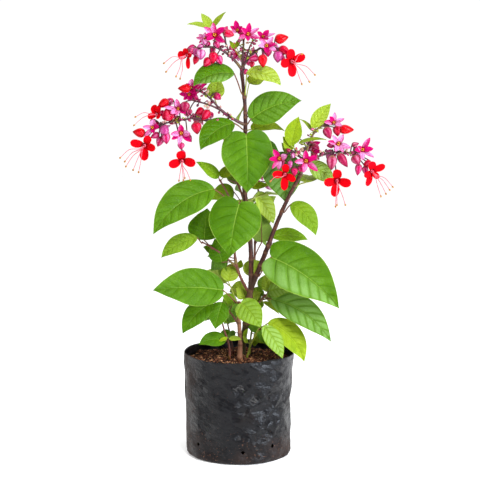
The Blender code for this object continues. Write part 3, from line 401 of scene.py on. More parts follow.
TWIG_LEAVES = rows_of(Leaf, (
    ("wide_left", "left_shoot", 0.80, -140, 33, 33, -150, -31, 110, 50, 55, 58, 0.76),
    ("shoot_tip_left", "left_shoot", 1.0, -104, 33, 5, -169, 35, 38, 18, 20, 50),
    ("shoot_tip_right", "left_shoot", 0.99, 0, 45, 4, 51, 50, 22, 16, 20, 40),
    ("twig_dark", "left_side_twig", 0.72, -171, 43, 15, 78, 66, 45, 46, 15, 62),
    ("twig_left", "left_side_twig", 0.99, -165, 43, 8, -160, -26, 58, 26, 45, 55, 0.85),
    ("twig_inner", "left_shoot", 0.29, -152, 6, 20, 134, 66, 34, 30, 15, 62),
    ("twig_small", "left_side_twig", 0.55, 99, -29, 10, 142, -10, 20, 14, 20, 30),
    ("twig_low", "left_shoot", 0.33, -171, 7, 11, 150, -42, 32, 24, 30, 50),
    ("low_right", "low_right_shoot", 0.75, -45, 8, 16, -29, -29, 106, 41, 50, 58, 0.80),
    ("low_right_inner", "low_right_shoot", 0.98, -24, 47, 6, -22, 5, 36, 26, 30, 50),
    ("low_right_back", "low_right_shoot", 0.80, 76, 3, 6, 12, -43, 34, 20, 40, 20),
    ("low_left", "low_left_shoot", 0.98, -143, 26, 14, -150, -40, 62, 31, 45, 55, 0.85),
    ("low_left_front", "low_left_shoot", 0.80, -127, 52, 12, -123, -64, 38, 28, 20, 60, 0.80),
    ("foot_left", "foot_left_shoot", 0.42, -113, 5, 5, -162, -4, 40, 23, 60, 50, 0.80),
    ("foot_left_small", "foot_left_shoot", 0.5, -60, 0, 6, -20, -2, 18, 11, 20, 30),
    ("foot_pale", "foot_right_shoot", 0.98, -58, 29, 12, -35, -53, 52, 24, 30, 58, 0.80),
    ("foot_gold", "foot_right_shoot", 0.94, -10, 36, 16, -12, -46, 74, 36, 60, 45, 0.80),
    ("low_right_mid", "low_right_shoot", 0.93, -31, 42, 4, -11, -3, 32, 22, 30, 55),
    ("low_right_up", "low_right_shoot", 0.95, 18, 32, 7, 135, 63, 25, 18, 20, 60),
    ("low_inner_a", "back_shoot", 0.04, 110, 6, 14, 170, -8, 24, 26, 30, 60),
    ("low_inner_d", "foot_back_shoot", 0.96, -31, 71, 34, 32, 62, 24, 20, 20, 60),
    ("low_inner_e", "foot_back_shoot", 0.96, 180, 71, 15, 23, 55, 26, 20, 20, 60),
    ("low_inner_f", "foot_rear_shoot", 0.96, -42, 50, 32, -163, -27, 23, 24, 30, 60),
    ("low_inner_g", "foot_rear_shoot", 0.92, -22, 25, 18, -161, -40, 25, 22, 30, 60),
    ("low_inner_h", "foot_back_shoot", 0.69, -127, 17, 13, -16, -25, 24, 18, 30, 55),
    ("low_inner_i", "foot_rear_shoot", 0.49, -78, 21, 8, -152, -39, 22, 18, 30, 55),
    ("mid_inner_b", "back_shoot", 0.78, 86, 4, 7, 20, 49, 36, 30, 30, 50),
    ("mid_inner_c", "back_shoot", 0.92, -134, 39, 4, 24, 37, 37, 26, 30, 40),
    ("mid_inner_e", "back_shoot", 0.65, 116, 5, 15, 158, 48, 40, 28, 30, 50),
    ("mid_inner_f", "rear_left_shoot", 0.68, 82, 6, 13, 134, 61, 29, 24, 30, 50),
    ("mid_inner_h", "rear_left_shoot", 0.49, 130, 5, 19, 10, 17, 35, 28, 30, 50),
    # broad to the sides, behind the trunk
    ("side_high_right", "leader", 0.66, 80, 10, 12, 82, -32, 58, 36, 45, 62, 0.62, 90),
    ("side_high_left", "leader", 0.82, 100, 15, 12, 99, -24, 50, 30, 50, 60, 0.62, -90),
    ("side_mid_right", "leader", 0.36, 84, 5, 14, 86, -40, 70, 44, 40, 62, 0.62, 90),
    ("side_mid_left", "leader", 0.52, 96, 10, 13, 95, -30, 60, 38, 45, 62, 0.62, -90),
    ("side_shoot_right", "back_shoot", 0.60, 60, 20, 12, 74, -20, 44, 30, 45, 62, 0.62, 90),
    ("side_low_right", "trunk", 0.86, 78, 12, 14, 86, -30, 66, 42, 45, 62, 0.62, 80),
    ("side_low_left", "trunk", 0.62, 104, 12, 14, 96, -26, 66, 40, 45, 62, 0.62, -80),
    ("side_foot_right", "foot_back_shoot", 0.90, 80, 20, 10, 84, -30, 44, 28, 45, 62, 0.62, 80),
    ("side_foot_left", "foot_rear_shoot", 0.80, 110, 20, 10, 104, -28, 46, 28, 45, 62, 0.62, -80),
    ("mid_back", "rear_left_shoot", 0.22, 155, 47, 23, -167, -18, 34, 30, 40, 50),
    ("foot_round", "foot_back_shoot", 0.24, -78, 7, 11, -29, 18, 13, 12, 20, 60),
    ("foot_right_low", "foot_back_shoot", 0.45, -76, 8, 13, -18, -25, 29, 20, 30, 55),
    ("back_wide", "left_shoot", 0.76, 155, 18, 37, 123, -15, 85, 42, 50, 30),
    ("back_low_right", "low_right_shoot", 0.90, 36, -20, 22, 49, -24, 81, 34, 50, 30),
    ("back_low_left", "foot_rear_shoot", 0.95, 148, 21, 20, 124, -24, 56, 26, 50, 20),
    ("back_centre", "foot_back_shoot", 0.95, 118, -20, 18, 86, -34, 60, 34, 50, 20),
    ("foot_dark", "foot_right_shoot", 0.73, 76, 14, 11, -8, -44, 38, 16, 30, 52),
    # small ones low in the middle
    ("fill_behind_heart", "leader", 0.47, 31, 4, 9, 5, 6, 25, 11, 40, 55),
    ("fill_upper_left", "left_shoot", 0.31, -169, -1, 9, -174, -26, 21, 18, 30, 55),
    ("fill_upper_low", "left_shoot", 0.27, 164, -11, 13, 168, -52, 16, 14, 30, 55),
    ("fill_left_twig", "left_side_twig", 0.60, 113, -9, 11, 172, 19, 16, 14, 30, 50),
    ("fill_stub_left", "woody_stub", 0.96, 116, 0, 13, -173, 28, 19, 16, 30, 55),
    ("fill_stub_low", "woody_stub", 0.81, 110, -3, 8, 180, -62, 21, 12, 30, 60),
    ("fill_right_gap", "low_right_shoot", 0.70, 77, -11, 3, 160, -71, 18, 12, 30, 55),
    ("fill_lime_middle", "trunk", 0.84, 141, 6, 3, 180, 48, 19, 18, 30, 58),
    ("fill_lime_right", "trunk", 0.81, 68, 12, 3, 0, 33, 18, 15, 30, 58),
    ("fill_right_low", "low_right_shoot", 0.70, -52, -30, 4, 10, -39, 29, 9, 40, 40),
    ("fill_left_down", "low_left_shoot", 0.65, 78, 15, 17, -139, -76, 26, 12, 30, 60),
    ("fill_stub_side", "woody_stub", 0.99, -114, -2, 7, -77, -80, 18, 8, 20, 60),
    ("fill_foot_left", "woody_stub", 0.42, 118, 0, 10, -164, -33, 13, 9, 30, 55),
    ("fill_foot_middle", "trunk", 0.47, -37, -15, 3, -15, -45, 17, 11, 30, 58),
    ("fill_foot_lime", "woody_stub", 0.36, 0, 7, 3, 0, 65, 13, 6, 20, 58),
    ("fill_foot_bright", "foot_right_shoot", 0.44, -155, 10, 6, 180, 64, 12, 6, 20, 58),
    ("fill_foot_low", "foot_left_shoot", 0.53, -84, -3, 8, -171, -22, 13, 6, 30, 50),
    ("fill_mid_pale", "left_shoot", 0.21, 85, 3, 22, 0, 80, 12, 9, 20, 60),
    ("fill_low_right", "low_right_shoot", 0.83, 101, 5, 7, -164, 58, 14, 10, 20, 58),
    ("fill_left_edge", "low_left_shoot", 0.99, 118, -36, 13, -166, -41, 22, 16, 30, 55),
    # beside the flowers
    ("sprig_left", "top_sprig", 0.95, 180, 50, 4, -170, 8, 31, 14, 30, 30),
    ("sprig_middle", "top_sprig", 0.97, 140, 60, 4, 130, 43, 27, 13, 20, 30),
    ("sprig_right", "top_sprig", 0.98, 0, 60, 4, 15, 48, 27, 12, 20, 20),
    ("left_hanging", "blossom_left_upper", 0.98, 123, 51, 14, 60, 66, 30, 24, 20, 60),
    ("left_hidden", "blossom_left_lower", 0.50, 100, 20, 12, 160, -10, 34, 20, 30, 20),
    ("right_pale", "right_outer", 0.35, 85, -22, 14, 10, -36, 45, 26, 30, 60),
    ("right_thin", "right_upper", 0.38, -154, 17, 13, -12, 7, 38, 13, 35, 20),
    ("right_lime_left", "right_upper", 0.06, -167, 40, 22, -11, 75, 40, 23, 15, 62, 0.85),
    ("right_lime_mid", "right_upper", 0.78, 125, 23, 7, 153, 39, 23, 9, 50, 10),
    ("right_lime_up", "right_upper", 0.83, 180, 42, 5, 9, 52, 41, 20, 12, 62, 0.85),
    ("right_lime_low", "right_inner", 0.98, 130, 13, 4, 161, 56, 22, 14, 20, 60),
    ("top_lime_a", "top_middle", 0.30, 144, 55, 17, 31, 62, 15, 6, 20, 60),
    ("top_lime_b", "top_middle", 0.25, 159, 51, 18, 143, 53, 14, 6, 20, 60),
    ("right_hidden", "right_inner", 0.40, 159, 14, 14, 148, 50, 18, 12, 20, 30),
))

# by cluster: kind, place, facing azimuth, facing rise, radius
HEADS = clustered(Head, (
    ("blossom_top", (
        ("star", (-32, -22, 567), -100, 25, 16.5),
        ("star", (-46, 6, 562), 150, 40, 12),
        ("star", (-2, -2, 573), -95, 40, 13),
        ("star", (12, -12, 568), -80, 30, 16),
        ("star", (32, 3, 565), -60, 45, 13),
        ("star", (36, -18, 553), -80, 15, 16),
        ("bloom", (-69, -24, 540), -125, -5, 15),
        ("bloom", (70, -22, 532), -75, -5, 18),
    )),
    ("blossom_left_upper", (
        ("star", (-64, -18, 498), -110, 20, 12),
        ("star", (-66, -12, 489), -100, -30, 13),
    )),
    ("blossom_left_lower", (
        ("star", (-80, -26, 471), -100, 15, 13),
        ("star", (-76, -28, 439), -90, -15, 15.5),
        ("star", (-114, -26, 446), -110, 0, 14),
        ("star", (-93, -16, 477), 158, 42, 10.5),
        ("bloom", (-109, -22, 463), -120, 15, 16),
        ("bloom", (-125, -26, 422), -100, -10, 17.5),
        ("bloom", (-75, -34, 402), -90, -15, 17),
    )),
    ("blossom_right", (
        ("star", (53, -32, 406), -110, 10, 15),
        ("star", (88, -36, 403), -80, 0, 16.5),
        ("bloom", (60, -38, 385), -100, -10, 17),
        ("star", (125, -24, 453), -80, 25, 13),
        ("star", (131, -26, 425), -90, 10, 17.5),
        ("star", (163, -24, 417), -80, 10, 15),
        ("bloom", (129, -34, 376), -90, -10, 19.5),
        ("bloom", (176, -26, 388), -75, -10, 18),
    )),
))

# by cluster: middle, way and lean, length and width, tone
BUDS = clustered(Bud, (
    ("blossom_left_lower", (
        ((-76.5, -24, 421.6), -90, 5, 10.0, 9.5, "pink"),
    )),
    ("blossom_right", (
        ((64.8, -20, 417.4), 120, 5, 6.0, 5.0, "rose"),
        ((71.3, -24, 409.7), -60, 5, 7.5, 6.0, "lilac"),
        ((76.6, -22, 412.2), 20, 5, 6.0, 5.0, "rose"),
        ((75.4, -18, 417.2), 70, 5, 5.5, 4.5, "pink"),
    )),
    ("blossom_left_lower", (
        ((-115, -16, 452.8), -130, 10, 9.0, 7.0, "rose"),
        ((-91.4, -12, 457.8), -80, 10, 8.5, 7.0, "pink"),
        ((-100.6, -14, 442.1), -110, 10, 9.0, 7.0, "lilac"),
    )),
    ("blossom_left_upper", (
        ((-64.9, -10, 465.7), -90, 10, 8.0, 6.5, "rose"),
    )),
    ("blossom_top", (
        ((-13, -20, 568), -15, 10, 14.7, 10.7, "crimson"),
        ((-18, -12, 573), 60, 0, 12.0, 8.7, "pink"),
        ((56, -14, 562), 12, 5, 18.7, 13.4, "scarlet"),
        ((60, -12, 546), -28, 5, 17.4, 12.0, "crimson"),
        ((51, -18, 538), 268, 15, 16.1, 12.7, "lilac"),
        ((57, -12, 536), -60, 0, 12.0, 8.0, "pink"),
        ((38, -12, 544), 272, 15, 12.7, 10.7, "pink"),
        ((31, -24, 533), 274, 10, 17.4, 12.7, "scarlet"),
        ((19, -14, 536), 190, 10, 13.4, 9.4, "pink"),
        ((17, -4, 528), 262, 0, 9.4, 7.4, "crimson"),
        ((9, -6, 518), 240, 0, 8.0, 6.0, "pink"),
        ((-50, -22, 541), 268, 20, 14.7, 12.7, "lilac"),
        ((-57, -14, 544), 255, 10, 12.0, 9.4, "lilac"),
        ((-57, -10, 534), 250, 0, 13.4, 8.7, "crimson"),
        ((-42, -16, 531), 232, 0, 14.7, 11.4, "crimson"),
        ((-34, -18, 537), 265, 10, 16.7, 12.0, "crimson"),
        ((-26, -12, 534), -62, 0, 14.0, 10.7, "pink"),
        ((-63, -6, 550), 195, 0, 12.0, 8.0, "pink"),
        ((-46, -16, 558), 120, 10, 9.4, 7.4, "lilac"),
        ((-51, -14, 552), 200, 10, 9.4, 6.7, "lilac"),
        ((-42, -8, 554), 240, 0, 10.7, 8.0, "pink"),
        ((-29, -10, 554), 300, 0, 12.0, 9.4, "pink"),
        ((-22, -12, 559), 340, 0, 9.4, 6.7, "pink"),
        ((-35, -8, 546), 265, 0, 10.7, 8.0, "pink"),
        ((43, -6, 554), -10, 0, 12.0, 8.0, "pink"),
        ((5, -4, 565), 300, 0, 10.7, 8.0, "pink"),
    )),
    ("blossom_left_upper", (
        ((-72, -18, 497), 180, 5, 17.4, 11.4, "scarlet"),
        ((-55, -6, 496), 40, 0, 13.4, 10.7, "pink"),
        ((-59, -6, 485), 330, 0, 13.4, 10.7, "pink"),
        ((-71, -26, 473), 262, 15, 14.7, 12.7, "rose"),
    )),
    ("blossom_left_lower", (
        ((-52, -10, 466), 205, 0, 13.4, 11.4, "crimson"),
        ((-44, -18, 462), 235, 5, 16.7, 11.4, "crimson"),
        ((-56, -22, 445), 278, 5, 16.7, 14.0, "crimson"),
        ((-100, -18, 477), 215, 5, 17.4, 11.4, "scarlet"),
        ((-93, -8, 480), 190, 0, 13.4, 8.0, "pink"),
        ((-94, -20, 463), 100, 20, 18.1, 16.1, "crimson"),
        ((-88, -12, 463), 60, 10, 13.4, 9.4, "pink"),
        ((-87, -14, 453), 10, 0, 12.0, 7.4, "pink"),
        ((-98, -30, 444), 80, 25, 13.4, 12.7, "lilac"),
        ((-111, -20, 435), 205, 5, 13.4, 8.7, "pink"),
        ((-105, -18, 427), 248, 0, 14.7, 10.7, "pink"),
        ((-96, -26, 432), 275, 10, 16.1, 11.4, "pink"),
        ((-132, -20, 439), 172, 0, 17.4, 12.7, "scarlet"),
        ((-110, -14, 449), 80, 10, 12.0, 10.7, "pink"),
        ((-69, -8, 464), 290, 0, 10.7, 8.0, "pink"),
        ((-66, -12, 431), 300, 0, 12.0, 8.0, "pink"),
    )),
    ("blossom_right", (
        ((117, -26, 439), 292, 10, 17.4, 12.0, "rose"),
        ((130, -16, 441), 275, 10, 14.7, 12.0, "crimson"),
        ((142, -18, 443), -3, 0, 20.1, 12.7, "scarlet"),
        ((122, -30, 400), 266, 5, 20.1, 14.0, "rose"),
        ((137, -26, 403), -56, 5, 22.7, 11.4, "rose"),
        ((155, -24, 403), 300, 10, 15.4, 13.4, "rose"),
        ((158, -20, 390), 262, 0, 16.1, 9.4, "pink"),
        ((168, -14, 388), 280, 0, 13.4, 8.7, "pink"),
        ((170, -18, 398), 200, 0, 12.0, 9.4, "crimson"),
        ((154, -16, 423), 20, 0, 10.7, 7.4, "rose"),
        ((157, -14, 415), 330, 0, 12.0, 8.7, "rose"),
        ((121, -14, 422), 190, 0, 10.0, 8.7, "pink"),
        ((67, -36, 398), 268, 10, 11.4, 6.7, "lilac"),
        ((73, -30, 388), 275, 5, 12.0, 9.4, "pink"),
        ((56, -24, 398), 250, 5, 13.4, 8.0, "pink"),
        ((82, -20, 391), 290, 0, 12.0, 8.7, "pink"),
        ((116, -12, 450), 175, 0, 9.4, 7.4, "rose"),
        ((71, -30, 410), 100, 20, 8.0, 6.7, "lilac"),
        ((78, -26, 413), 60, 10, 8.0, 5.4, "rose"),
        ((65, -24, 416), 140, 10, 7.4, 5.4, "rose"),
    )),
))

# cluster, twig, heads set out along its far side
BACK_HEADS = (
    ("blossom_top", "top_back", 6),
    ("blossom_top", "top_outer", 2),
    ("blossom_top", "top_right_outer", 2),
    ("back_shoot", "back_spray", 4),
    ("back_shoot", "back_spray_side", 2),
    ("blossom_left_upper", "left_upper_high", 2),
    ("blossom_left_lower", "left_lower_back", 4),
    ("blossom_left_lower", "left_lower_outer", 2),
    ("blossom_right", "right_back", 5),
    ("blossom_right", "right_outer_arm", 2),
)


# ---------------------------------------------------------------- lines and frames
def heading(azimuth, rise):
    """Unit direction for an azimuth round +Z and a rise above level, in degrees."""
    a, r = math.radians(azimuth), math.radians(rise)
    return np.array((math.cos(a) * math.cos(r), math.sin(a) * math.cos(r), math.sin(r)))


def unit(vector):
    return vector / np.linalg.norm(vector)


def limb_start(limb):
    if not limb.parent:
        return np.array((*FEET[limb.name], MIX_LEVEL + SEAT_GAP))
    return limb_point(LIMBS[limb.parent], limb.at)


def limb_point(limb, s):
    """The limb's axis at share s of its length: a straight reach, bowed up and swayed sideways."""
    start, tip = limb_start(limb), np.array(limb.tip)
    along = unit(tip - start)
    side = unit(np.cross(along, (0.0, 1.0, 0.0)))
    lift = unit(UP - along * along[2])
    bow = lift * limb.arch * 4 * s * (1 - s)
    return start + (tip - start) * s + bow - side * limb.sway * math.sin(math.pi * limb.waves * s)


def limb_tangent(limb, s):
    low, high = max(0.0, s - 0.02), min(1.0, s + 0.02)
    return unit(limb_point(limb, high) - limb_point(limb, low))


def limb_radius(limb, s):
    radius = limb.foot_radius + (limb.tip_radius - limb.foot_radius) * s
    if limb.parent:
        return radius
    return radius + ROOT_FLARE * limb.foot_radius * math.exp(-s * ROOT_FLARE_FADE)


def nearest_on_twigs(cluster, place):
    """The closest point to a head on the twigs of its cluster."""
    twigs = [limb for limb in SPRAYS if cluster_of(limb.name) == cluster]
    points = (limb_point(limb, s) for limb in twigs for s in FORK_SHARES)
    return min(points, key=lambda point: np.linalg.norm(point - place))


def cluster_of(name):
    """The cluster, shoot or stem that a twig finally springs from."""
    roots = {limb.name for limb in STEMS}
    while LIMBS[name].parent and LIMBS[name].parent not in roots:
        name = LIMBS[name].parent
    return name


def all_heads():
    """Every star and bloom, and the heads on the far side, each with its own facing."""
    heads = list(HEADS)
    rng = random.Random(HEAD_SEED)
    for cluster, twig, count in BACK_HEADS:
        limb = LIMBS[twig]
        for index in range(count):
            s = BACK_HEAD_START + (1 - BACK_HEAD_START) * (index + 0.5) / count
            azimuth = 90 + rng.uniform(-BACK_HEAD_SWING, BACK_HEAD_SWING)
            rise = rng.uniform(*BACK_HEAD_RISE)
            reach = rng.uniform(*BACK_HEAD_REACH)
            place = limb_point(limb, s) + heading(azimuth, rise) * reach
            if index % BACK_STAR_EVERY == 1:
                size = rng.uniform(*BACK_STAR_SIZE)
                heads.append(Head(cluster, "star", tuple(place), azimuth, rise, size))
            else:
                heads.append(Head(cluster, "bud", tuple(place), azimuth, rise - BACK_BUD_NOD, BUD_LENGTH))
    return heads


# ---------------------------------------------------------------- how each leaf and flower looks
class Form(NamedTuple):
    """A blade's tone, basal lobes, fold, side droop and quilting, and its painted light: how pale its colour
    is painted for the light the blade catches, and how that paleness leans to one half.
    """

    tone: str
    lobe: float = 0.02
    fold: float = 0.15
    sag: float = 0.10
    quilt: float = 0.022
    light: float = None
    lean: float = 0.0


YOUNG = Form("lime", fold=0.20, quilt=0.014)
FRESH = Form("fresh", fold=0.16)
FULL = Form("mid")
# painted shade: SHADED blades take the deep green, a darker copy of the leaf colour for leaves in the shade
# inside the bush
SHADED = Form("deep")
# each named leaf's form; its light and lean set its painted light, paler where the blade catches light and
# darker where it does not
FORMS = {
    "leaf_top_left": Form("mid", fold=0.40, sag=0.30, light=0.25, lean=-0.6),
    "leaf_top_right": Form("lime", fold=0.36, sag=0.20, light=0.8),
    "leaf_high_right": Form("mid", lobe=0.05, fold=0.12, quilt=0.028, light=0.40),
    "leaf_high_left": Form("mid", quilt=0.026, light=0.0),
    "leaf_heart_high": Form("mid", lobe=0.12, fold=0.06, quilt=0.026, light=0.08, lean=0.30),
    "leaf_heart_low": Form("mid", lobe=0.13, fold=0.06, quilt=0.026, light=0.08, lean=-0.30),
    "leaf_mid_right": Form("lime", fold=0.20, light=1.0),
    "leaf_mid_far_right": Form("lime", light=1.0),
    "leaf_largest": Form("mid", lobe=0.10, fold=0.22, quilt=0.028, light=0.50, lean=0.50),
    "leaf_big_left": Form("mid", lobe=0.04, fold=0.16, quilt=0.026, light=0.25),
    "leaf_front": Form("fresh", lobe=0.06, fold=0.12, light=0.55),
    "wide_left": Form("mid", fold=0.16, quilt=0.026, light=0.25),
    "twig_dark": Form("mid", light=0.15),
    "twig_inner": Form("mid", light=0.15),
    "low_right": Form("mid", fold=0.18, quilt=0.028, light=0.75),
    "low_left": Form("mid", light=0.05),
    "low_left_front": Form("mid", light=0.15),
    "foot_left": Form("mid", light=0.05),
    "foot_pale": Form("fresh", fold=0.12, light=1.0),
    "foot_gold": Form("lime", fold=0.45, sag=0.25, quilt=0.024, light=0.3),
    "foot_dark": Form("mid", light=0.2),
    "low_inner_a": Form("lime", light=0.5),
    "low_inner_d": Form("fresh", light=0.5),
    "low_inner_e": Form("lime", light=0.8),
    "low_inner_f": Form("fresh", light=0.5),
    "low_right_inner": Form("fresh", light=0.9),
    "low_right_mid": Form("fresh", light=0.6),
    "low_right_up": Form("lime", light=0.6),
    "mid_inner_b": Form("lime", light=0.9),
    "mid_inner_c": Form("lime", light=0.9),
    "fill_lime_middle": Form("lime", light=0.6),
    "fill_lime_right": Form("lime", light=0.6),
    "right_pale": Form("fresh", light=1.0),
}

# the leaves that share a form
SHARED_FORMS = (
    (YOUNG, (
        "leaf_high_back", "leaf_top_under", "leaf_behind_trunk", "leaf_yellow", "shoot_tip_right",
        "low_right_back", "foot_left_small", "foot_round", "side_high_left", "fill_right_low",
        "fill_behind_heart", "fill_foot_lime", "fill_foot_bright", "fill_foot_low", "fill_mid_pale",
        "sprig_left", "sprig_middle", "sprig_right", "left_hanging", "left_hidden", "right_thin",
        "right_lime_left", "right_lime_mid", "right_lime_up", "right_lime_low", "top_lime_a",
        "top_lime_b", "right_hidden",
    )),
    # painted shade: these take the deep green for the shade they stand in
    (SHADED, (
        "leaf_behind_right", "leaf_dark_centre", "leaf_bough_back",
    )),
    (FRESH, (
        "leaf_bough_front", "leaf_bough_side", "leaf_bough_small", "shoot_tip_left", "twig_left",
        "low_inner_g", "mid_inner_f", "mid_inner_h", "side_high_right", "side_shoot_right",
        "side_foot_right", "mid_back", "fill_upper_low", "fill_left_twig", "fill_stub_left",
        "fill_right_gap", "fill_low_right",
    )),
    (FULL, (
        "twig_small", "twig_low", "low_inner_h", "low_inner_i", "side_mid_right", "side_mid_left",
        "side_low_right", "side_low_left", "side_foot_left", "fill_upper_left", "fill_stub_low",
        "fill_left_down", "fill_stub_side", "fill_foot_left", "fill_foot_middle", "fill_left_edge",
    )),
)
FORMS.update({name: form for form, names in SHARED_FORMS for name in names})
DEALT_FORMS = (FRESH, FULL, YOUNG)

# each front star's lobes: turn from its right hand, length and width in millimetres, and paleness, the share
# of painted highlight on the half of the lobe that faces the light
STAR_LOBES = (
    ((97, 15.4, 7.4, 0.6), (36, 16.1, 8.7, 0.15), (-41, 16.1, 8.7, 0.25),
     (146, 16.7, 7.4, 0.7), (185, 12.0, 6.0, 0.3), (222, 13.4, 7.4, 0.1)),
    ((150, 13.4, 6.0, 0.9), (182, 12.0, 5.4, 0.7), (100, 9.4, 6.0, 0.8),
     (40, 8.0, 6.0, 0.3), (230, 9.4, 6.0, 0.5)),
    ((103, 12.7, 7.4, 0.1), (150, 11.4, 6.0, 0.1), (-38, 12.0, 7.4, 0.2),
     (205, 10.7, 6.0, 0.8), (35, 8.0, 6.0, 0.2)),
    ((83, 15.4, 7.4, 0.2), (27, 16.7, 6.0, 0.75), (-25, 16.7, 6.7, 0.6),
     (207, 14.7, 6.0, 0.6), (268, 10.0, 6.7, 0.3), (140, 11.4, 6.7, 0.3)),
    ((48, 12.0, 7.4, 0.1), (140, 10.0, 6.7, 0.1), (14, 17.4, 4.7, 0.9),
     (235, 9.4, 6.7, 0.3), (-40, 9.4, 6.0, 0.4)),
    ((51, 14.0, 6.7, 0.9), (135, 11.4, 6.7, 0.8), (185, 11.4, 5.6, 1),
     (-26, 14.7, 6.7, 0.95), (272, 10.7, 7.4, 0.1), (8, 12.7, 6.0, 0.3)),
    ((80, 12.0, 7.8, 0.8), (22, 11.4, 8.7, 0.1), (208, 13.4, 5.6, 0.8),
     (-50, 10.7, 8.0, 0.2), (140, 8.0, 6.0, 0.5)),
    ((78, 10.7, 6.7, 0.85), (118, 10.0, 5.4, 1), (178, 13.4, 6.7, 0.1),
     (5, 11.4, 8.7, 0.15), (280, 9.4, 8.0, 0.1), (225, 10.7, 6.0, 0.3)),
    ((100, 12.7, 7.4, 0.7), (176, 18.7, 5.6, 0.85), (217, 12.0, 7.4, 0.9),
     (262, 10.0, 6.7, 0.7), (-32, 12.7, 6.4, 0.1), (40, 9.4, 6.7, 0.4)),
    ((92, 11.4, 8.0, 0.35), (-5, 12.7, 8.7, 0.8), (-42, 17.4, 7.4, 0.1),
     (258, 16.1, 6.7, 1), (186, 14.0, 7.4, 0.75), (214, 15.4, 6.7, 0.2)),
    ((80, 11.4, 8.7, 0.85), (176, 12.7, 6.0, 0.8), (230, 16.1, 6.0, 0.75),
     (12, 9.4, 7.4, 0.1), (290, 8.0, 6.0, 0.2)),
    ((148, 8.7, 5.4, 0.9), (-8, 9.4, 5.4, 0.8), (212, 9.4, 6.0, 0.9),
     (60, 6.7, 5.4, 0.7), (280, 6.7, 5.4, 0.5)),
    ((125, 14.0, 7.4, 0.35), (18, 11.4, 8.7, 0.85), (188, 13.4, 6.7, 0.05),
     (238, 16.7, 6.0, 0.6), (268, 15.4, 7.4, 0.8)),
    ((92, 14.0, 7.4, 0.35), (22, 16.1, 7.4, 0.1), (-42, 20.7, 8.0, 0.55),
     (257, 16.1, 7.4, 0.7), (185, 15.4, 7.4, 0.7)),
    ((86, 12.7, 6.0, 0.9), (128, 9.4, 6.0, 0.2), (18, 14.7, 6.0, 0.8),
     (-30, 12.0, 6.0, 1), (180, 13.4, 6.7, 0.6)),
    ((62, 14.0, 7.4, 0.9), (127, 13.4, 6.0, 0.95), (-20, 17.4, 7.4, 0.9),
     (250, 12.0, 6.7, 0.95), (168, 14.7, 6.0, 0.5), (-60, 13.4, 6.0, 0.8)),
    ((58, 18.1, 7.4, 0.5), (4, 14.7, 7.4, 0.1), (-35, 18.7, 5.6, 0.85),
     (268, 14.7, 6.7, 0.9), (185, 10.7, 6.7, 0.2), (150, 8.0, 6.0, 0.5)),
)

# each bloom's petals, by turn from its right hand in degrees, length and width
PETALS = (
    ((178, 0.0140, 0.0115), (85, 0.0098, 0.0095), (2, 0.0100, 0.0060), (-78, 0.0180, 0.0076)),
    ((104, 0.0174, 0.0115), (28, 0.0182, 0.0115), (192, 0.0168, 0.0120), (268, 0.0200, 0.0120)),
    ((118, 0.0142, 0.0112), (68, 0.0120, 0.0090), (198, 0.0128, 0.0090), (-30, 0.0082, 0.0080)),
    ((58, 0.0168, 0.0108), (163, 0.0188, 0.0115), (-12, 0.0160, 0.0108), (-90, 0.0195, 0.0122)),
    ((95, 0.0160, 0.0128), (197, 0.0182, 0.0122), (-5, 0.0182, 0.0128)),
    ((80, 0.0154, 0.0096), (177, 0.0160, 0.0102), (-27, 0.0160, 0.0096), (-92, 0.0208, 0.0102)),
    ((90, 0.0168, 0.0122), (184, 0.0175, 0.0120), (-8, 0.0188, 0.0126), (-101, 0.0208, 0.0114)),
    ((95, 0.0142, 0.0108), (28, 0.0188, 0.0102), (-107, 0.0208, 0.0088), (212, 0.0128, 0.0088),
     (-45, 0.0128, 0.0082)),
)

# where each bloom's anthers end, across and up from its throat, in metres
ANTHERS = (
    ((-0.029, -0.010), (-0.026, -0.021), (-0.013, -0.027), (-0.008, -0.030)),
    ((0.012, -0.029), (0.022, -0.026), (0.029, -0.017), (0.012, 0.010)),
    ((-0.029, -0.014), (-0.027, -0.003)),
    ((-0.031, -0.015), (-0.025, -0.020), (-0.024, -0.027), (-0.014, -0.031), (-0.007, -0.034)),
    ((-0.004, -0.025), (0.004, -0.021), (0.011, -0.024), (0.002, -0.024)),
    ((-0.019, -0.008),),
    ((-0.002, -0.033), (0.000, -0.031), (0.011, -0.031)),
    ((0.011, -0.032), (0.018, -0.029), (0.023, -0.024), (0.027, -0.020)),
)


# ---------------------------------------------------------------- gathering corners and faces
class Skin:
    """Corners and faces gathered for one piece, and a place on its own part for each corner."""

    def __init__(self):
        self.points = []
        self.places = []
        self.faces = []
        self.finishes = []
        self.count = 0

    def add(self, points, faces, places=None, finish=0):
        """Points and places are rows of three; faces are rows of corner numbers."""
        points = np.asarray(points, float).reshape(-1, 3)
        if places is None:
            places = np.zeros_like(points)
        self.points.append(points)
        self.places.append(np.asarray(places, float).reshape(-1, 3))
        for rows in faces:
            rows = np.asarray(rows, int) + self.count
            self.faces.extend(rows.tolist())
            self.finishes.extend([finish] * len(rows))
        self.count += len(points)

    def build(self, name, materials, slot, nodes=()):
        """One smooth mesh piece that rides on the plant and stands for the frame's nodes."""
        mesh = bpy.data.meshes.new(name)
        mesh.from_pydata(np.concatenate(self.points).tolist(), [], self.faces)
        for material in materials:
            mesh.materials.append(material)
        mesh.polygons.foreach_set("material_index", self.finishes)
        mesh.polygons.foreach_set("use_smooth", [True] * len(self.faces))
        places = mesh.attributes.new("place", "FLOAT_VECTOR", "POINT")
        places.data.foreach_set("vector", np.concatenate(self.places).ravel())
        mesh.update()
        piece = bpy.data.objects.new(name, mesh)
        bpy.context.scene.collection.objects.link(piece)
        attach(piece, "root")
        if nodes:
            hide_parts(*nodes)
        return piece


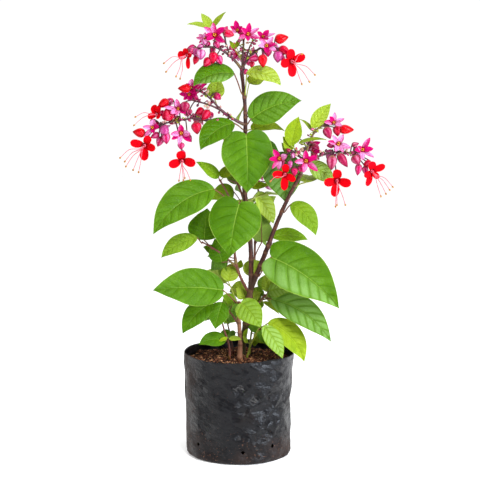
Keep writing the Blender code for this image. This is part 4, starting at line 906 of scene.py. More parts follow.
def lattice(rows, columns, closed=False):
    """Quads between rows of corners; a closed lattice's last column meets its first."""
    across = columns if closed else columns - 1
    row, column = np.meshgrid(np.arange(rows - 1), np.arange(across), indexing="ij")
    beside = (column + 1) % columns
    corners = (row * columns + column, row * columns + beside)
    above = (corners[1] + columns, corners[0] + columns)
    return np.stack(corners + above, -1).reshape(-1, 4)


def tube_faces(rows, sides):
    """The faces of a closed tube: its wall, and fans round the two corners that follow its rings."""
    around = np.arange(sides)
    beside = (around + 1) % sides
    last = (rows - 1) * sides
    foot = np.stack((np.full(sides, rows * sides), beside, around), -1)
    head = np.stack((np.full(sides, rows * sides + 1), last + around, last + beside), -1)
    return lattice(rows, sides, closed=True), foot, head


def spokes(side, other, sides):
    """Turns round an axis, and the directions they point in, from the two directions across it."""
    turns = np.arange(sides) * 2 * math.pi / sides
    side, other = side[..., None, :], other[..., None, :]
    return turns, side * np.cos(turns)[:, None] + other * np.sin(turns)[:, None]


def frames_along(line):
    """Two unit directions across a line at each of its points, kept from twisting along it."""
    along = np.gradient(line, axis=0)
    along /= np.linalg.norm(along, axis=1)[:, None]
    side = unit(np.cross(UP if abs(along[0][2]) < 0.8 else np.array((0.0, 1.0, 0.0)), along[0]))
    sides = []
    for ahead in along:
        side = unit(side - ahead * (side @ ahead))
        sides.append(side)
    sides = np.array(sides)
    return sides, np.cross(along, sides)


def sweep(skin, line, radii, sides, relief=None, place=None, finish=0):
    """A closed round skin along a line; relief scales the radius of each of its corners."""
    line = np.asarray(line, float)
    turns, ways = spokes(*frames_along(line), sides)
    reach = np.broadcast_to(np.asarray(radii, float)[:, None], (len(line), sides))
    if relief is not None:
        reach = reach * relief
    rings = line[:, None] + ways * reach[..., None]
    points = np.concatenate((rings.reshape(-1, 3), line[:1], line[-1:]))
    run = np.concatenate(((0,), np.cumsum(np.linalg.norm(np.diff(line, axis=0), axis=1))))
    rows = np.stack(np.broadcast_arrays(run[:, None], turns[None, :], 0.0), -1).reshape(-1, 3)
    places = np.concatenate((rows, (rows[0], rows[-1])))
    if place is not None:
        places[:, 2] = np.concatenate((np.repeat(place, sides), (place[0], place[-1])))
    skin.add(points, tube_faces(len(line), sides), places, finish)


def bow(points, steps):
    """A smooth line through a few points, by cubic pieces."""
    points = np.asarray(points, float)
    ends = np.concatenate((2 * points[:1] - points[1:2], points, 2 * points[-1:] - points[-2:-1]))
    line = []
    for k in range(len(points) - 1):
        a, b, c, d = ends[k : k + 4]
        for s in np.linspace(0, 1, steps, endpoint=False):
            line.append(0.5 * (2 * b + (c - a) * s + (2 * a - 5 * b + 4 * c - d) * s**2
                               + (3 * b - a - 3 * c + d) * s**3))
    line.append(points[-1])
    return np.array(line)


class Ripple:
    """A smooth seeded field over two numbers: a few waves laid across one another."""

    def __init__(self, seed):
        rng = random.Random(seed)
        self.waves = []
        for k in range(RIPPLE_WAVES):
            turn = rng.uniform(0, math.pi)
            pitch = 0.6 + 1.8 * k / RIPPLE_WAVES
            phase = rng.uniform(0, 2 * math.pi)
            self.waves.append((math.cos(turn) * pitch, math.sin(turn) * pitch, phase, 1 / pitch))
        self.total = math.sqrt(sum(wave[3] ** 2 for wave in self.waves) / 2)

    def __call__(self, across, up):
        parts = (w[3] * np.sin(2 * math.pi * (across * w[0] + up * w[1]) + w[2]) for w in self.waves)
        return sum(parts) / self.total


# ---------------------------------------------------------------- stems, leaves and flowers
def limb_line(limb, pitch, foot_sunk):
    """The limb's axis with points a pitch apart, and their shares of its length."""
    reach = np.linalg.norm(np.array(limb.tip) - limb_start(limb))
    shares = np.linspace(0, 1, max(4, int(reach / pitch)))
    line = np.array([limb_point(limb, s) for s in shares])
    line[0] = line[0] - limb_tangent(limb, 0) * foot_sunk
    return line, shares, reach


def stem(skin, limb, joints, bark, finish=0):
    """A limb with its swollen joints and the furrows of its bark."""
    pitch, sides, swell, roughness = bark
    sunk = limb_radius(LIMBS[limb.parent], limb.at) * 0.5 if limb.parent else ROOT_SUNK
    line, shares, reach = limb_line(limb, pitch, sunk)
    rings = (np.exp(-(((shares - s) * reach / JOINT_SPREAD) ** 2)) for s in joints)
    ring = sum(rings, np.zeros_like(shares))
    radii = np.array([limb_radius(limb, s) for s in shares]) * (1 + swell * ring)
    turns = np.arange(sides) / sides
    ripple = Ripple(sum(map(ord, limb.name)))
    furrows = ripple(np.cos(turns * 2 * math.pi)[None, :] * 1.6, (shares * reach / FURROW_LENGTH)[:, None])
    furrows = furrows + 0.6 * np.sin(turns * 2 * math.pi * FURROWS)[None, :]
    sweep(skin, line, radii, sides, 1 + roughness * furrows, np.clip(ring, 0, 1), finish)


def outline(leaf, form, share):
    """The blade's edge at a share of the way round it: along the midrib and half across."""
    fullness, taper = (HEART_ROUND, HEART_TAPER) if leaf.fullness == HEART else (leaf.fullness, TAPER)
    widest = fullness / (fullness + taper)
    peak = widest**fullness * (1 - widest) ** taper
    half = leaf.width / 2 * share**fullness * (1 - share) ** taper / peak
    back = form.lobe * np.sin(math.pi * np.sqrt(np.clip(share / 0.34, 0, 1)))
    return share - back, half


def midrib(leaf, base, along_shares):
    """The midrib's points and its side and upper directions, run straight back behind the base."""
    fine = np.linspace(0, 1, MIDRIB_STEPS + 1)
    turn = np.radians(leaf.rise + leaf.droop * (0.5 - fine))
    azimuth = math.radians(leaf.azimuth)
    ways = np.stack((math.cos(azimuth) * np.cos(turn), math.sin(azimuth) * np.cos(turn), np.sin(turn)), -1)
    steps = (ways[1:] + ways[:-1]) / 2 * leaf.length / MIDRIB_STEPS
    run = base + np.concatenate((np.zeros((1, 3)), np.cumsum(steps, axis=0)))
    inside = np.clip(along_shares, 0, 1)
    points = np.stack([np.interp(inside, fine, run[:, k]) for k in range(3)], -1)
    points = points + ways[0] * (np.minimum(along_shares, 0) * leaf.length)[..., None]
    way = np.stack([np.interp(inside, fine, ways[:, k]) for k in range(3)], -1)
    way /= np.linalg.norm(way, axis=-1)[..., None]
    tilt, swing = math.radians(leaf.tilt), math.radians(leaf.swing)
    sky = np.array((math.sin(tilt) * math.sin(swing), -math.sin(tilt) * math.cos(swing), math.cos(tilt)))
    face = sky - way * (way @ sky)[..., None]
    face /= np.linalg.norm(face, axis=-1)[..., None]
    return points, np.cross(way, face), face


def leaf_stalk(leaf):
    """The leaf stalk's line, from inside its limb to the foot of the blade."""
    limb = LIMBS[leaf.limb]
    node, tangent = limb_point(limb, leaf.at), limb_tangent(limb, leaf.at)
    radius = limb_radius(limb, leaf.at)
    way = heading(leaf.stalk_azimuth, 0)
    out = unit(way - tangent * (way @ tangent))
    base = node + heading(leaf.stalk_azimuth, leaf.stalk_rise) * (leaf.stalk + radius)
    return node + out * radius * 0.3, node + out * radius * 1.5, base


def halves(quads):
    """Each four-cornered face as two triangles, always split along the same diagonal."""
    return np.concatenate((quads[:, (0, 1, 2)], quads[:, (0, 2, 3)]))


def blade(skin, leaf, form, base, settings):
    """A quilted blade of two skins: rows run out along the side veins to its edge."""
    rows, half_columns = BIG_LEAF_MESH if leaf.length > BIG_LEAF else SMALL_LEAF_MESH
    even = np.linspace(0, 1, rows)
    along = 0.00002 + 0.9978 * even**2
    spread = np.linspace(-1, 1, 2 * half_columns + 1)
    across = np.sign(spread) * np.abs(spread) ** 1.2
    t, v = np.meshgrid(along, across, indexing="ij")
    edge, half = outline(leaf, form, t**settings.vein_sweep)
    reach = np.abs(v)
    x = t + (edge - t) * reach**1.3
    y = half * v
    middle, side, face = midrib(leaf, base, x)
    rng = random.Random(leaf.name)
    wave = rng.uniform(0, 2 * math.pi)
    between = np.abs(np.cos(math.pi * VEIN_PAIRS * t)) ** 0.34
    quilt = form.quilt * leaf.width * settings.relief * (between - 0.7)
    height = quilt * np.sin(math.pi * np.clip(reach, 0, 1) ** 0.7) ** 0.8 * np.clip((1 - t) / 0.15, 0, 1)
    height -= 0.010 * leaf.width * np.exp(-((reach / 0.06) ** 2))
    height += form.fold * np.abs(y) - form.sag * y**2 / (leaf.width / 2)
    height += 0.012 * leaf.width * np.sin(2 * math.pi * 2.3 * t + wave + v) * reach**3
    top = middle + side * y[..., None] + face * height[..., None]
    thick = settings.thickness * (1 - reach**6) * np.clip(np.minimum(t, 1 - t) / 0.04, 0, 1)
    under = top - face * thick[..., None]
    # painted light: how pale this blade's colour is painted for the light it catches, leaning to the half
    # that faces the light; it rides as the third number of each corner's place
    light = (rng.uniform(0, 0.6) if form.light is None else form.light) + form.lean * v
    places = np.stack((t, v, light), -1).reshape(-1, 3)
    corners = halves(lattice(rows, len(across)))
    skin.add(top, (corners,), places, 0)
    skin.add(under, (corners[:, ::-1],), places, 1)


def rib(skin, leaf, stalk, radius):
    """The stalk, carried on under the blade as its thinning midrib."""
    points, _, face = midrib(leaf, stalk[2], np.linspace(*RIB_SPAN, RIB_POINTS))
    points = points - face * (0.014 * leaf.width + radius * 0.7)
    line = bow((stalk[0], stalk[1], (stalk[1] + stalk[2]) / 2 + UP * leaf.stalk * 0.04, stalk[2]), 4)
    line = np.concatenate((line, points))
    thins = np.concatenate((np.full(len(line) - RIB_POINTS, 1.0), np.linspace(0.9, 0.25, RIB_POINTS)))
    sweep(skin, line, thins * radius, 8)


def lobe_sheet(skin, place, axes, turn, radial, axial, half, crease, thick, tone):
    """One sepal or petal: a sheet of two skins, out from the throat along its own turn."""
    direction, side, other = axes
    rows, columns = len(radial), LOBE_COLUMNS
    out = side * math.cos(turn) + other * math.sin(turn)
    beside = np.cross(direction, out)
    v = np.linspace(-1, 1, columns)
    reach = out[None, None] * radial[:, None, None] + direction[None, None] * axial[:, None, None]
    lift = direction[None, None] * (crease[:, None] * v[None, :] ** 2)[..., None]
    top = place + reach + beside[None, None] * (half[:, None] * v[None, :])[..., None] + lift
    under = top - direction[None, None] * (thick * (1 - v**4))[None, :, None]
    quads = lattice(rows, columns)
    a, b = np.meshgrid(np.linspace(0, 1, rows), v, indexing="ij")
    places = np.stack((a, b, np.full_like(a, tone)), -1).reshape(-1, 3)
    skin.add(np.concatenate((top.reshape(-1, 3), under.reshape(-1, 3))),
             (quads, (quads + rows * columns)[:, ::-1]), np.concatenate((places, places)))


def head_axes(direction):
    """A facing, and two directions across it: the first level, the second nearest upward."""
    helper = UP if abs(direction[2]) < 0.9 else np.array((1.0, 0.0, 0.0))
    side = unit(np.cross(helper, direction))
    return direction, side, np.cross(direction, side)


def sepals(skin, place, direction, size, turn, rng, opening=1.0):
    """An open calyx: pointed lobes that part above a short cup and lean back a little."""
    axes = head_axes(direction)
    a = np.linspace(0, 1, SEPAL_ROWS)
    for lobe in range(SEPALS):
        angle = math.radians(turn + 90 + 360 * lobe / SEPALS) + rng.uniform(-0.08, 0.08)
        reach = size * rng.uniform(0.92, 1.04)
        radial = reach * (0.10 + 0.90 * a) * opening
        axial = reach * (-0.34 * (1 - a) ** 2.2 + (0.25 + rng.uniform(-0.10, 0.10)) * a**1.4)
        joined = 0.78 * radial
        blade_half = 0.285 * reach * (np.clip(1 - a, 0, 1) / 0.62) ** 0.80
        half = np.minimum(joined, blade_half)
        crease = 0.20 * reach * np.sin(math.pi * a) * rng.uniform(0.3, 1.3)
        # each lobe's share of painted highlight is drawn at random
        lobe_sheet(skin, place, axes, angle, radial, axial, half, crease, size * 0.03, rng.random())


def star(skin, place, direction, own, rng):
    """An open calyx seen from the front: pointed lobes by their turn, length, width and paleness, the share
    of painted highlight each carries.
    """
    axes = head_axes(direction)
    a = np.linspace(0, 1, STAR_ROWS)
    shape = a**0.55 * (1 - a) ** 0.80
    for turn, length, width, painted_highlight in own:
        length, width = length / 1000, width / 1000
        axial = length * (-0.30 * (1 - a) ** 2.2 + rng.uniform(-0.05, 0.30) * a**1.3)
        half = width / 2 * np.maximum(shape / shape.max(), 0.55 * (a < 0.3))
        crease = 0.18 * width * np.sin(math.pi * a) * rng.uniform(0.3, 1.3)
        lobe_sheet(skin, place, axes, math.radians(turn), length * (0.06 + 0.94 * a), axial, half, crease,
                   STAR_THICKNESS, painted_highlight)


def petals(skin, place, direction, size, own, rng):
    """An open corolla: oval lobes that end in a small point, each by its own turn, length and width."""
    axes = head_axes(direction)
    a = np.linspace(0, 1, PETAL_ROWS)
    for turn, length, width in own:
        radial = length * (0.05 + 0.95 * a)
        axial = length * (-0.22 * (1 - a) ** 2 + 0.10 * a**2 + rng.uniform(-0.10, 0.10) * a)
        oval = a**0.60 * (1 - a) ** 0.48
        half = width / 2 * np.maximum(oval / oval.max(), 0.42 * (a < 0.3))
        crease = 0.14 * width * np.sin(math.pi * np.clip(a * 1.1, 0, 1)) * rng.uniform(0.3, 1.3)
        lobe_sheet(skin, place, axes, math.radians(turn), radial, axial, half, crease, size * 0.025,
                   rng.random())


def spindle(skin, place, direction, length, width, tone, depth=DEEP_RIBS, blunt=0.75, finish=0):
    """A bud: a plump ribbed body from a blunt foot to a point."""
    axes = head_axes(direction)
    rows, sides = BUD_MESH
    s = np.linspace(0.02, 0.985, rows)
    radii = width / 2 * np.sin(math.pi * s**blunt) ** 0.75
    turns, ways = spokes(axes[1], axes[2], sides)
    relief = 1 + depth * np.cos(BUD_RIBS * turns)[None, :] * np.sin(math.pi * s)[:, None]
    line = place[None] + direction[None] * ((s - 0.5) * length)[:, None]
    rings = line[:, None] + ways[None] * (radii[:, None] * relief)[..., None]
    points = np.concatenate((rings.reshape(-1, 3), (place - direction * length / 2,),
                             (place + direction * length / 2,)))
    seam = np.abs(np.cos(BUD_RIBS * turns / 2))
    places = np.stack(np.broadcast_arrays(s[:, None], seam[None, :], tone), -1).reshape(-1, 3)
    places = np.concatenate((places, ((0, 0.5, tone), (1, 0.5, tone))))
    skin.add(points, tube_faces(rows, sides), places, finish)


def bead(skin, place, size, stretch=1.0, way=UP, finish=0):
    """A small rounded grain, drawn out along one way."""
    axes = head_axes(unit(np.asarray(way, float)))
    rows, sides = BEAD_MESH
    lift = np.linspace(-0.9, 0.9, rows)
    _, ways = spokes(axes[1], axes[2], sides)
    radii = size / 2 * np.sqrt(1 - lift**2)
    line = np.asarray(place)[None] + axes[0][None] * (lift * size * stretch / 2)[:, None]
    rings = line[:, None] + ways[None] * radii[:, None, None]
    ends = np.asarray(place) + np.outer((-1, 1), axes[0]) * size * stretch / 2
    skin.add(np.concatenate((rings.reshape(-1, 3), ends)), tube_faces(rows, sides), finish=finish)


# ---------------------------------------------------------------- shader arithmetic
def tint(red, green, blue):
    """A colour given as it shows on screen, 0 to 255, as the light it sends back."""
    shares = (channel / 255 for channel in (red, green, blue))
    return tuple(c / 12.92 if c <= 0.04045 else ((c + 0.055) / 1.055) ** 2.4 for c in shares)


class Wire:
    """A node's output that takes part in arithmetic; every step adds its node."""

    def __init__(self, recipe, socket):
        self.recipe = recipe
        self.socket = socket

    def maths(self, operation, first, second=0.0):
        return self.recipe.add("ShaderNodeMath", {"operation": operation}, {0: first, 1: second})

    def __add__(self, other):
        return self.maths("ADD", self, other)

    def __radd__(self, other):
        return self.maths("ADD", other, self)

    def __sub__(self, other):
        return self.maths("SUBTRACT", self, other)

    def __rsub__(self, other):
        return self.maths("SUBTRACT", other, self)

    def __mul__(self, other):
        return self.maths("MULTIPLY", self, other)

    def __rmul__(self, other):
        return self.maths("MULTIPLY", other, self)

    def __truediv__(self, other):
        return self.maths("DIVIDE", self, other)

    def __pow__(self, other):
        return self.maths("POWER", self, other)

    def __mod__(self, other):
        return self.maths("FLOORED_MODULO", self, other)

    def __abs__(self):
        return self.maths("ABSOLUTE", self)


class Recipe:
    """The node tree of one finish."""

    def __init__(self, name, **plain):
        self.material = bpy.data.materials.new(name)
        self.material.use_nodes = True
        self.tree = self.material.node_tree
        self.shader = self.tree.nodes["Principled BSDF"]
        for socket, value in plain.items():
            self.shader.inputs[socket.replace("_", " ")].default_value = value

    def add(self, kind, settings=None, inputs=None, output=0):
        """A node of a kind: its settings first, then the values or wires of its sockets."""
        node = self.tree.nodes.new(kind)
        for name, value in (settings or {}).items():
            setattr(node, name, value)
        for key, value in (inputs or {}).items():
            self.feed(node.inputs[key], value)
        return Wire(self, node.outputs[output])

    def feed(self, socket, value):
        if isinstance(value, Wire):
            self.tree.links.new(value.socket, socket)
        elif socket.type == "RGBA":
            socket.default_value = (*value, 1.0)
        else:
            socket.default_value = value

    def surface(self, **sockets):
        """Feeds the finish's own sockets and hands back its material."""
        for name, value in sockets.items():
            self.feed(self.shader.inputs[name.replace("_", " ")], value)
        return self.material

    def own(self):
        return self.add("ShaderNodeTexCoord", output="Object")

    def place(self):
        """The three numbers that a piece's corners carry about their own part."""
        vector = self.add("ShaderNodeAttribute", {"attribute_name": "place"}, output="Vector")
        return self.parts(vector)

    def parts(self, vector):
        first = self.add("ShaderNodeSeparateXYZ", inputs={"Vector": vector})
        node = first.socket.node
        return first, Wire(self, node.outputs["Y"]), Wire(self, node.outputs["Z"])

    def stretch(self, vector, scales):
        return self.add("ShaderNodeVectorMath", {"operation": "MULTIPLY"}, {0: vector, 1: scales})

    def noise(self, vector, scale, detail=2.0, roughness=0.5):
        sockets = {"Vector": vector, "Scale": scale, "Detail": detail, "Roughness": roughness}
        return self.add("ShaderNodeTexNoise", inputs=sockets, output="Fac")

    def cells(self, vector, scale, feature="F1", output="Distance"):
        sockets = {"Vector": vector, "Scale": scale}
        return self.add("ShaderNodeTexVoronoi", {"feature": feature}, sockets, output)

    def facets(self, vector, scale):
        """Heights in metres of a crumpled skin: flat cells, each tilted its own way by up to one in two."""
        sockets = {"Vector": vector, "Scale": scale}
        cell = self.add("ShaderNodeTexVoronoi", inputs=sockets, output="Color")
        middle = Wire(self, cell.socket.node.outputs["Position"])
        away = self.add("ShaderNodeVectorMath", {"operation": "SUBTRACT"}, {0: vector, 1: middle})
        tilt = self.add("ShaderNodeVectorMath", {"operation": "SUBTRACT"}, {0: cell, 1: (0.5, 0.5, 0.5)})
        return self.add("ShaderNodeVectorMath", {"operation": "DOT_PRODUCT"}, {0: away, 1: tilt}, "Value")

    def rise(self, value, low, high):
        """0 below low, 1 above high and smooth between."""
        sockets = {"Value": value, "From Min": low, "From Max": high}
        return self.add("ShaderNodeMapRange", {"interpolation_type": "SMOOTHSTEP"}, sockets)

    def blend(self, share, low, high):
        sockets = {0: share, 6: low, 7: high}
        return self.add("ShaderNodeMix", {"data_type": "RGBA"}, sockets, output=2)

    def bump(self, height, strength, distance):
        sockets = {"Strength": strength, "Distance": distance, "Height": height}
        return self.add("ShaderNodeBump", inputs=sockets)


# ---------------------------------------------------------------- finishes
def leaf_finish(name, face, deep, painted_sheen, vein, edge, gloss):
    """A leaf's upper side: real mottling, painted shade in its sunk veins and vein net and on blades that
    take little light, a painted sheen on the crowns of its quilts, and a pale midrib and edge.
    """
    m = Recipe(name, Specular_IOR_Level=0.11)
    # light is the blade's painted light, from its form
    along, across, light = m.place()
    side = abs(across)
    spot = m.own()
    mottling = m.noise(spot, 60.0, 3.0)
    pebbles = m.noise(spot, 420.0, 3.0, 0.65)
    gap = abs((along * VEIN_PAIRS) % 1.0 - 0.5)
    inside = 1 - m.rise(side, 0.80, 1.0)
    net = 1 - m.rise(m.cells(spot, 300.0, "DISTANCE_TO_EDGE"), 0.01, 0.13)
    side_vein = (1 - m.rise(gap, 0.008, 0.060)) * inside * (1 - side * 0.5)
    quilts = m.rise(gap, 0.03, 0.30) * m.rise(side, 0.03, 0.22) * (1 - m.rise(side, 0.86, 1.05))
    midline = 1 - m.rise(side, 0.006, 0.026)
    # mottling is real; light moves the blade between face and deep as painted light and painted shade
    body = m.blend(m.rise(mottling * 0.8 + light * 0.4, 0.14, 0.86), deep, face)
    # painted shade in the grooves of the side veins and of the fine vein net
    body = m.blend(side_vein * 0.75 + net * (1 - side_vein) * 0.26, body, deep)
    # painted sheen: paler crowns between the veins on the blades that carry painted light
    painted_highlight = m.rise(light * 1.15 + pebbles * 0.6 + mottling * 0.4 - 0.68, 0.0, 1.0)
    body = m.blend((quilts * 0.7 + inside * 0.3) * painted_highlight * 0.8, body, painted_sheen)
    body = m.blend(midline * 0.65, body, vein)
    body = m.blend(m.rise(side, 0.965, 1.0) * 0.6, body, edge)
    relief = m.bump(pebbles * 0.8 - side_vein * 0.5 - net * 0.35, 0.65, 0.0011)
    return m.surface(Base_Color=body, Roughness=gloss + mottling * 0.2, Normal=relief)


def leaf_back_finish(name, face, vein):
    """A leaf's underside: paler and duller, with raised veins."""
    m = Recipe(name, Specular_IOR_Level=0.12)
    along, across, _ = m.place()
    gap = abs((along * VEIN_PAIRS) % 1.0 - 0.5)
    veins = 1 - m.rise(gap, 0.01, 0.10)
    midline = 1 - m.rise(abs(across), 0.02, 0.08)
    mottling = m.noise(m.own(), 80.0, 3.0)
    body = m.blend(mottling * 0.4 + veins * 0.35 + midline * 0.5, face, vein)
    return m.surface(Base_Color=body, Roughness=0.6 + mottling * 0.15, Normal=m.bump(veins, 0.3, 0.0006))


def bark_finish(name, face, light, dark, foot, scar):
    """Smooth young bark: long streaks, small pores, and its own colour at foot and joints."""
    m = Recipe(name, Specular_IOR_Level=0.26)
    spot = m.own()
    _, _, ring = m.place()
    height = m.parts(spot)[2]
    streaks = m.noise(m.stretch(spot, (1.0, 1.0, 0.18)), 420.0, 4.0)
    pores = m.cells(m.stretch(spot, (1.0, 1.0, 0.5)), 620.0)
    body = m.blend(m.rise(streaks, 0.38, 0.66), dark, face)
    body = m.blend(m.rise(streaks, 0.60, 0.80) * 0.7, body, light)
    body = m.blend(1 - m.rise(height, MIX_LEVEL + 0.04, MIX_LEVEL + 0.13), body, foot)
    body = m.blend((1 - m.rise(pores, 0.10, 0.22)) * 0.4, body, light)
    body = m.blend(m.rise(ring, 0.35, 1.0) * 0.6, body, scar)
    relief = m.bump(streaks + pores * 0.4, 0.5, 0.0007)
    return m.surface(Base_Color=body, Roughness=0.45 + streaks * 0.3, Normal=relief)


def twig_finish(name, face, green, light):
    """Thin stalks: purple-brown that turns green in places."""
    m = Recipe(name)
    spot = m.own()
    patches = m.noise(spot, 60.0, 2.0)
    streaks = m.noise(spot, 500.0, 2.0)
    body = m.blend(m.rise(patches, 0.52, 0.74), face, green)
    body = m.blend(m.rise(streaks, 0.55, 0.80) * 0.6, body, light)
    return m.surface(Base_Color=body, Roughness=0.40 + streaks * 0.25, Normal=m.bump(streaks, 0.3, 0.0004))


def sepal_finish(name, face, pale, deep, throat):
    """An open calyx lobe: magenta, with a painted highlight up to nearly white on the half that faces the
    light, by its own paleness and in streaks; painted shade along the midline crease, and magenta again at
    edge and tip.
    """
    m = Recipe(name, Specular_IOR_Level=0.04)
    along, across, painted_highlight = m.place()
    streaks = m.noise(m.own(), 420.0, 3.0)
    side = abs(across)
    # painted highlight: pale on the lobe half that faces the light, broken into streaks
    lit_half_highlight = m.rise(painted_highlight * 0.9 + across * 0.22 + streaks * 0.6, 0.60, 1.24)
    body = m.blend(lit_half_highlight * (1 - m.rise(along, 0.72, 1.0) * 0.7), face, pale)
    # painted shade along the midline crease
    body = m.blend((1 - m.rise(side, 0.02, 0.20)) * 0.45, body, deep)
    body = m.blend(m.rise(side, 0.70, 1.0) * 0.35, body, face)
    body = m.blend(1 - m.rise(along, 0.08, 0.30), body, throat)
    return m.surface(Base_Color=body, Roughness=0.45 + streaks * 0.2, Normal=m.bump(streaks, 0.25, 0.0004))


def bud_finish(name, face, pale, deep, foot):
    """A closed bud: a painted highlight along its ribs, painted shade in the seams between them, and a
    green-tinged foot.
    """
    m = Recipe(name, Specular_IOR_Level=0.12)
    along, seam, tone = m.place()
    flecks = m.noise(m.own(), 380.0, 3.0)
    # painted highlight on the rib crowns
    light = m.rise(seam * 0.5 + flecks * 0.5 + tone * 0.3 - 0.35 * abs(along - 0.45), 0.56, 1.15)
    body = m.blend(light, face, pale)
    # painted shade in the seams between the ribs
    body = m.blend((1 - m.rise(seam, 0.0, 0.22)) * 0.7, body, deep)
    body = m.blend(m.rise(along, 0.72, 0.98) * 0.6, body, deep)
    body = m.blend((1 - m.rise(along, 0.02, 0.22)) * 0.8, body, foot)
    return m.surface(Base_Color=body, Roughness=0.20 + flecks * 0.08, Normal=m.bump(flecks, 0.2, 0.0004))


def petal_finish(name, face, light, throat):
    """A scarlet petal: dark at its narrow foot, with faint veins along it."""
    m = Recipe(name, Specular_IOR_Level=0.03)
    along, _, tone = m.place()
    veins = m.noise(m.own(), 600.0, 2.0)
    body = m.blend(m.rise(veins * 0.5 + tone * 0.4 + along * 0.3, 0.55, 1.0) * 0.6, face, light)
    body = m.blend((1 - m.rise(along, 0.05, 0.32)) * 0.85, body, throat)
    return m.surface(Base_Color=body, Roughness=0.5 + veins * 0.15, Normal=m.bump(veins, 0.2, 0.0004))


def grain_finish(name, face, other, scale, roughness=0.6):
    """A small part's finish: two tones in soft patches."""
    m = Recipe(name, Specular_IOR_Level=0.3)
    patches = m.noise(m.own(), scale, 3.0)
    body = m.blend(m.rise(patches, 0.35, 0.68), face, other)
    return m.surface(Base_Color=body, Roughness=roughness + patches * 0.15,
                     Normal=m.bump(patches, 0.4, 0.0005))


def film_finish(settings):
    """Black polythene film: a blue-grey sheen over fine crinkles, and brown dust from the potting."""
    m = Recipe("bag_film_black", Specular_IOR_Level=0.24)
    spot = m.own()
    aside, inward, height = m.parts(spot)
    bend = m.noise(spot, 60.0, 2.0) * 0.006
    slant = m.add("ShaderNodeCombineXYZ",
                  inputs={"X": aside + bend, "Y": inward, "Z": height * 1.5 + aside * 0.5 + bend})
    grain = m.noise(spot, 900.0, 2.0)
    clouds = m.noise(spot, 24.0, 4.0, 0.62)
    column = m.rise(aside, -0.022, 0.010) * (1 - m.rise(aside, 0.050, 0.072))
    slack = column * 0.75 + m.rise(m.noise(spot, 18.0, 2.0), 0.45, 0.65) * 0.25
    crumple = m.facets(slant, 40.0) * (0.13 + slack * 0.30) + m.facets(slant, 105.0) * (0.19 + slack * 0.30)
    near_foot = 1 - m.rise(height, 0.004, 0.050)
    left = 1 - m.rise(aside, -0.074, -0.040)
    right = m.rise(aside, 0.052, 0.078)
    worn = clouds * (left * 0.42 + right * 0.22 + 0.75)
    dusty = m.rise(worn + near_foot * 0.20 + grain * 0.25, 0.52, 0.98)
    specks = m.rise(m.noise(spot, 520.0, 1.0), 0.68, 0.74) * (0.08 + near_foot * 0.5 + left * 0.15)
    body = m.blend(dusty * settings.dust, settings.film, settings.dust_colour)
    body = m.blend(specks, body, tint(150, 105, 80))
    relief = m.bump(crumple + m.noise(slant, 240.0, 2.0) * 0.0007, 1.0, 1.0)
    return m.surface(Base_Color=body, Roughness=0.32 + dusty * 0.32 + grain * 0.06, Normal=relief)


def floor_finish():
    """A pale studio floor, very slightly uneven in tone."""
    m = Recipe("studio_floor", Specular_IOR_Level=0.1, Emission_Color=(1.0, 1.0, 1.0, 1.0),
               Emission_Strength=0.32)
    patches = m.noise(m.own(), 2.0, 2.0)
    body = m.blend(patches, (0.93, 0.93, 0.93), (0.96, 0.96, 0.96))
    return m.surface(Base_Color=body, Roughness=0.9 + patches * 0.05)


# ---------------------------------------------------------------- the bag and its filling
def bag_radius(z):
    """The bag's outside radius at a height: straight runs above its rounded foot."""
    straight = BAG_FOOT_RADIUS + (BAG_RIM_RADIUS - BAG_FOOT_RADIUS) * np.clip(z / BAG_HEIGHT, 0, 1)
    under = np.clip(1 - z / BAG_CORNER, 0, 1)
    return straight - BAG_CORNER * (1 - np.sqrt(1 - under**2))


def diamonds(across, up):
    """Dents of a buckled skin, 0 at the corners of its diamonds and 1 halfway along a level fold."""
    row = np.floor(up)
    climb = up - row
    tent = 1 - np.abs(2 * ((across - row / 2 + 0.5) % 1.0) - 1)
    return np.where(tent > climb, 1 - climb - (1 - tent) ** 2, climb - tent**2)


def buckles(turns, z, settings):
    """How far the film dents inward: a band of sharp diamonds in front, wide slack ones elsewhere."""
    drift = Ripple(3)
    across = (turns - FOLD_TURN) * BAG_RIM_RADIUS
    up = z - FOLD_LEVEL
    wander = 0.0024 * drift(turns * 0.9, z * 14)
    sharp = diamonds((across + wander) / settings.buckle_width,
                     (up + 0.0014 * drift(turns * 1.1 + 5, z * 11)) / settings.buckle_height)
    lean = 0.45 * across + 0.9 * up
    slack = diamonds((across - 0.35 * up + 2 * wander) / SLACK_WIDTH, (lean + wander) / SLACK_HEIGHT)
    aside = (across + 0.24 * up) / FOLD_HALF_WIDTH
    front = np.exp(-(aside**2)) * np.exp(-(((z - FOLD_MIDDLE) / FOLD_HALF_HEIGHT) ** 4))
    rest = 0.35 + 0.65 * np.clip(Ripple(8)(turns * 0.5, z * 9), 0, 1)
    held = np.clip((MIX_LEVEL - 0.002 - z) / 0.020, 0, 1) * np.clip(z / 0.012, 0, 1)
    return held * (settings.buckle_depth * sharp * front + SLACK_DEPTH * slack * rest * (1 - front))


def bag_wall(turns, z, settings):
    """The film's outside: its radius with buckles, slack, fine creases and gathers at the foot."""
    slack = 0.0010 * Ripple(11)(turns * 0.8, z * 6)
    fine = 0.0003 * np.clip(1 - np.abs(Ripple(14)(turns * 3.6 - z * 22, z * 60)) / 0.35, 0, 1)
    gathers = 0.0012 * np.exp(-z / 0.009) * Ripple(13)(turns * 2.6, z * 40)
    held = np.clip(z / 0.004, 0, 1) * np.clip((BAG_HEIGHT - z) / 0.006, 0.25, 1)
    radius = bag_radius(z) - buckles(turns, z, settings) + (slack - fine + gathers) * held
    return np.minimum(radius, bag_radius(z) + BULGE)


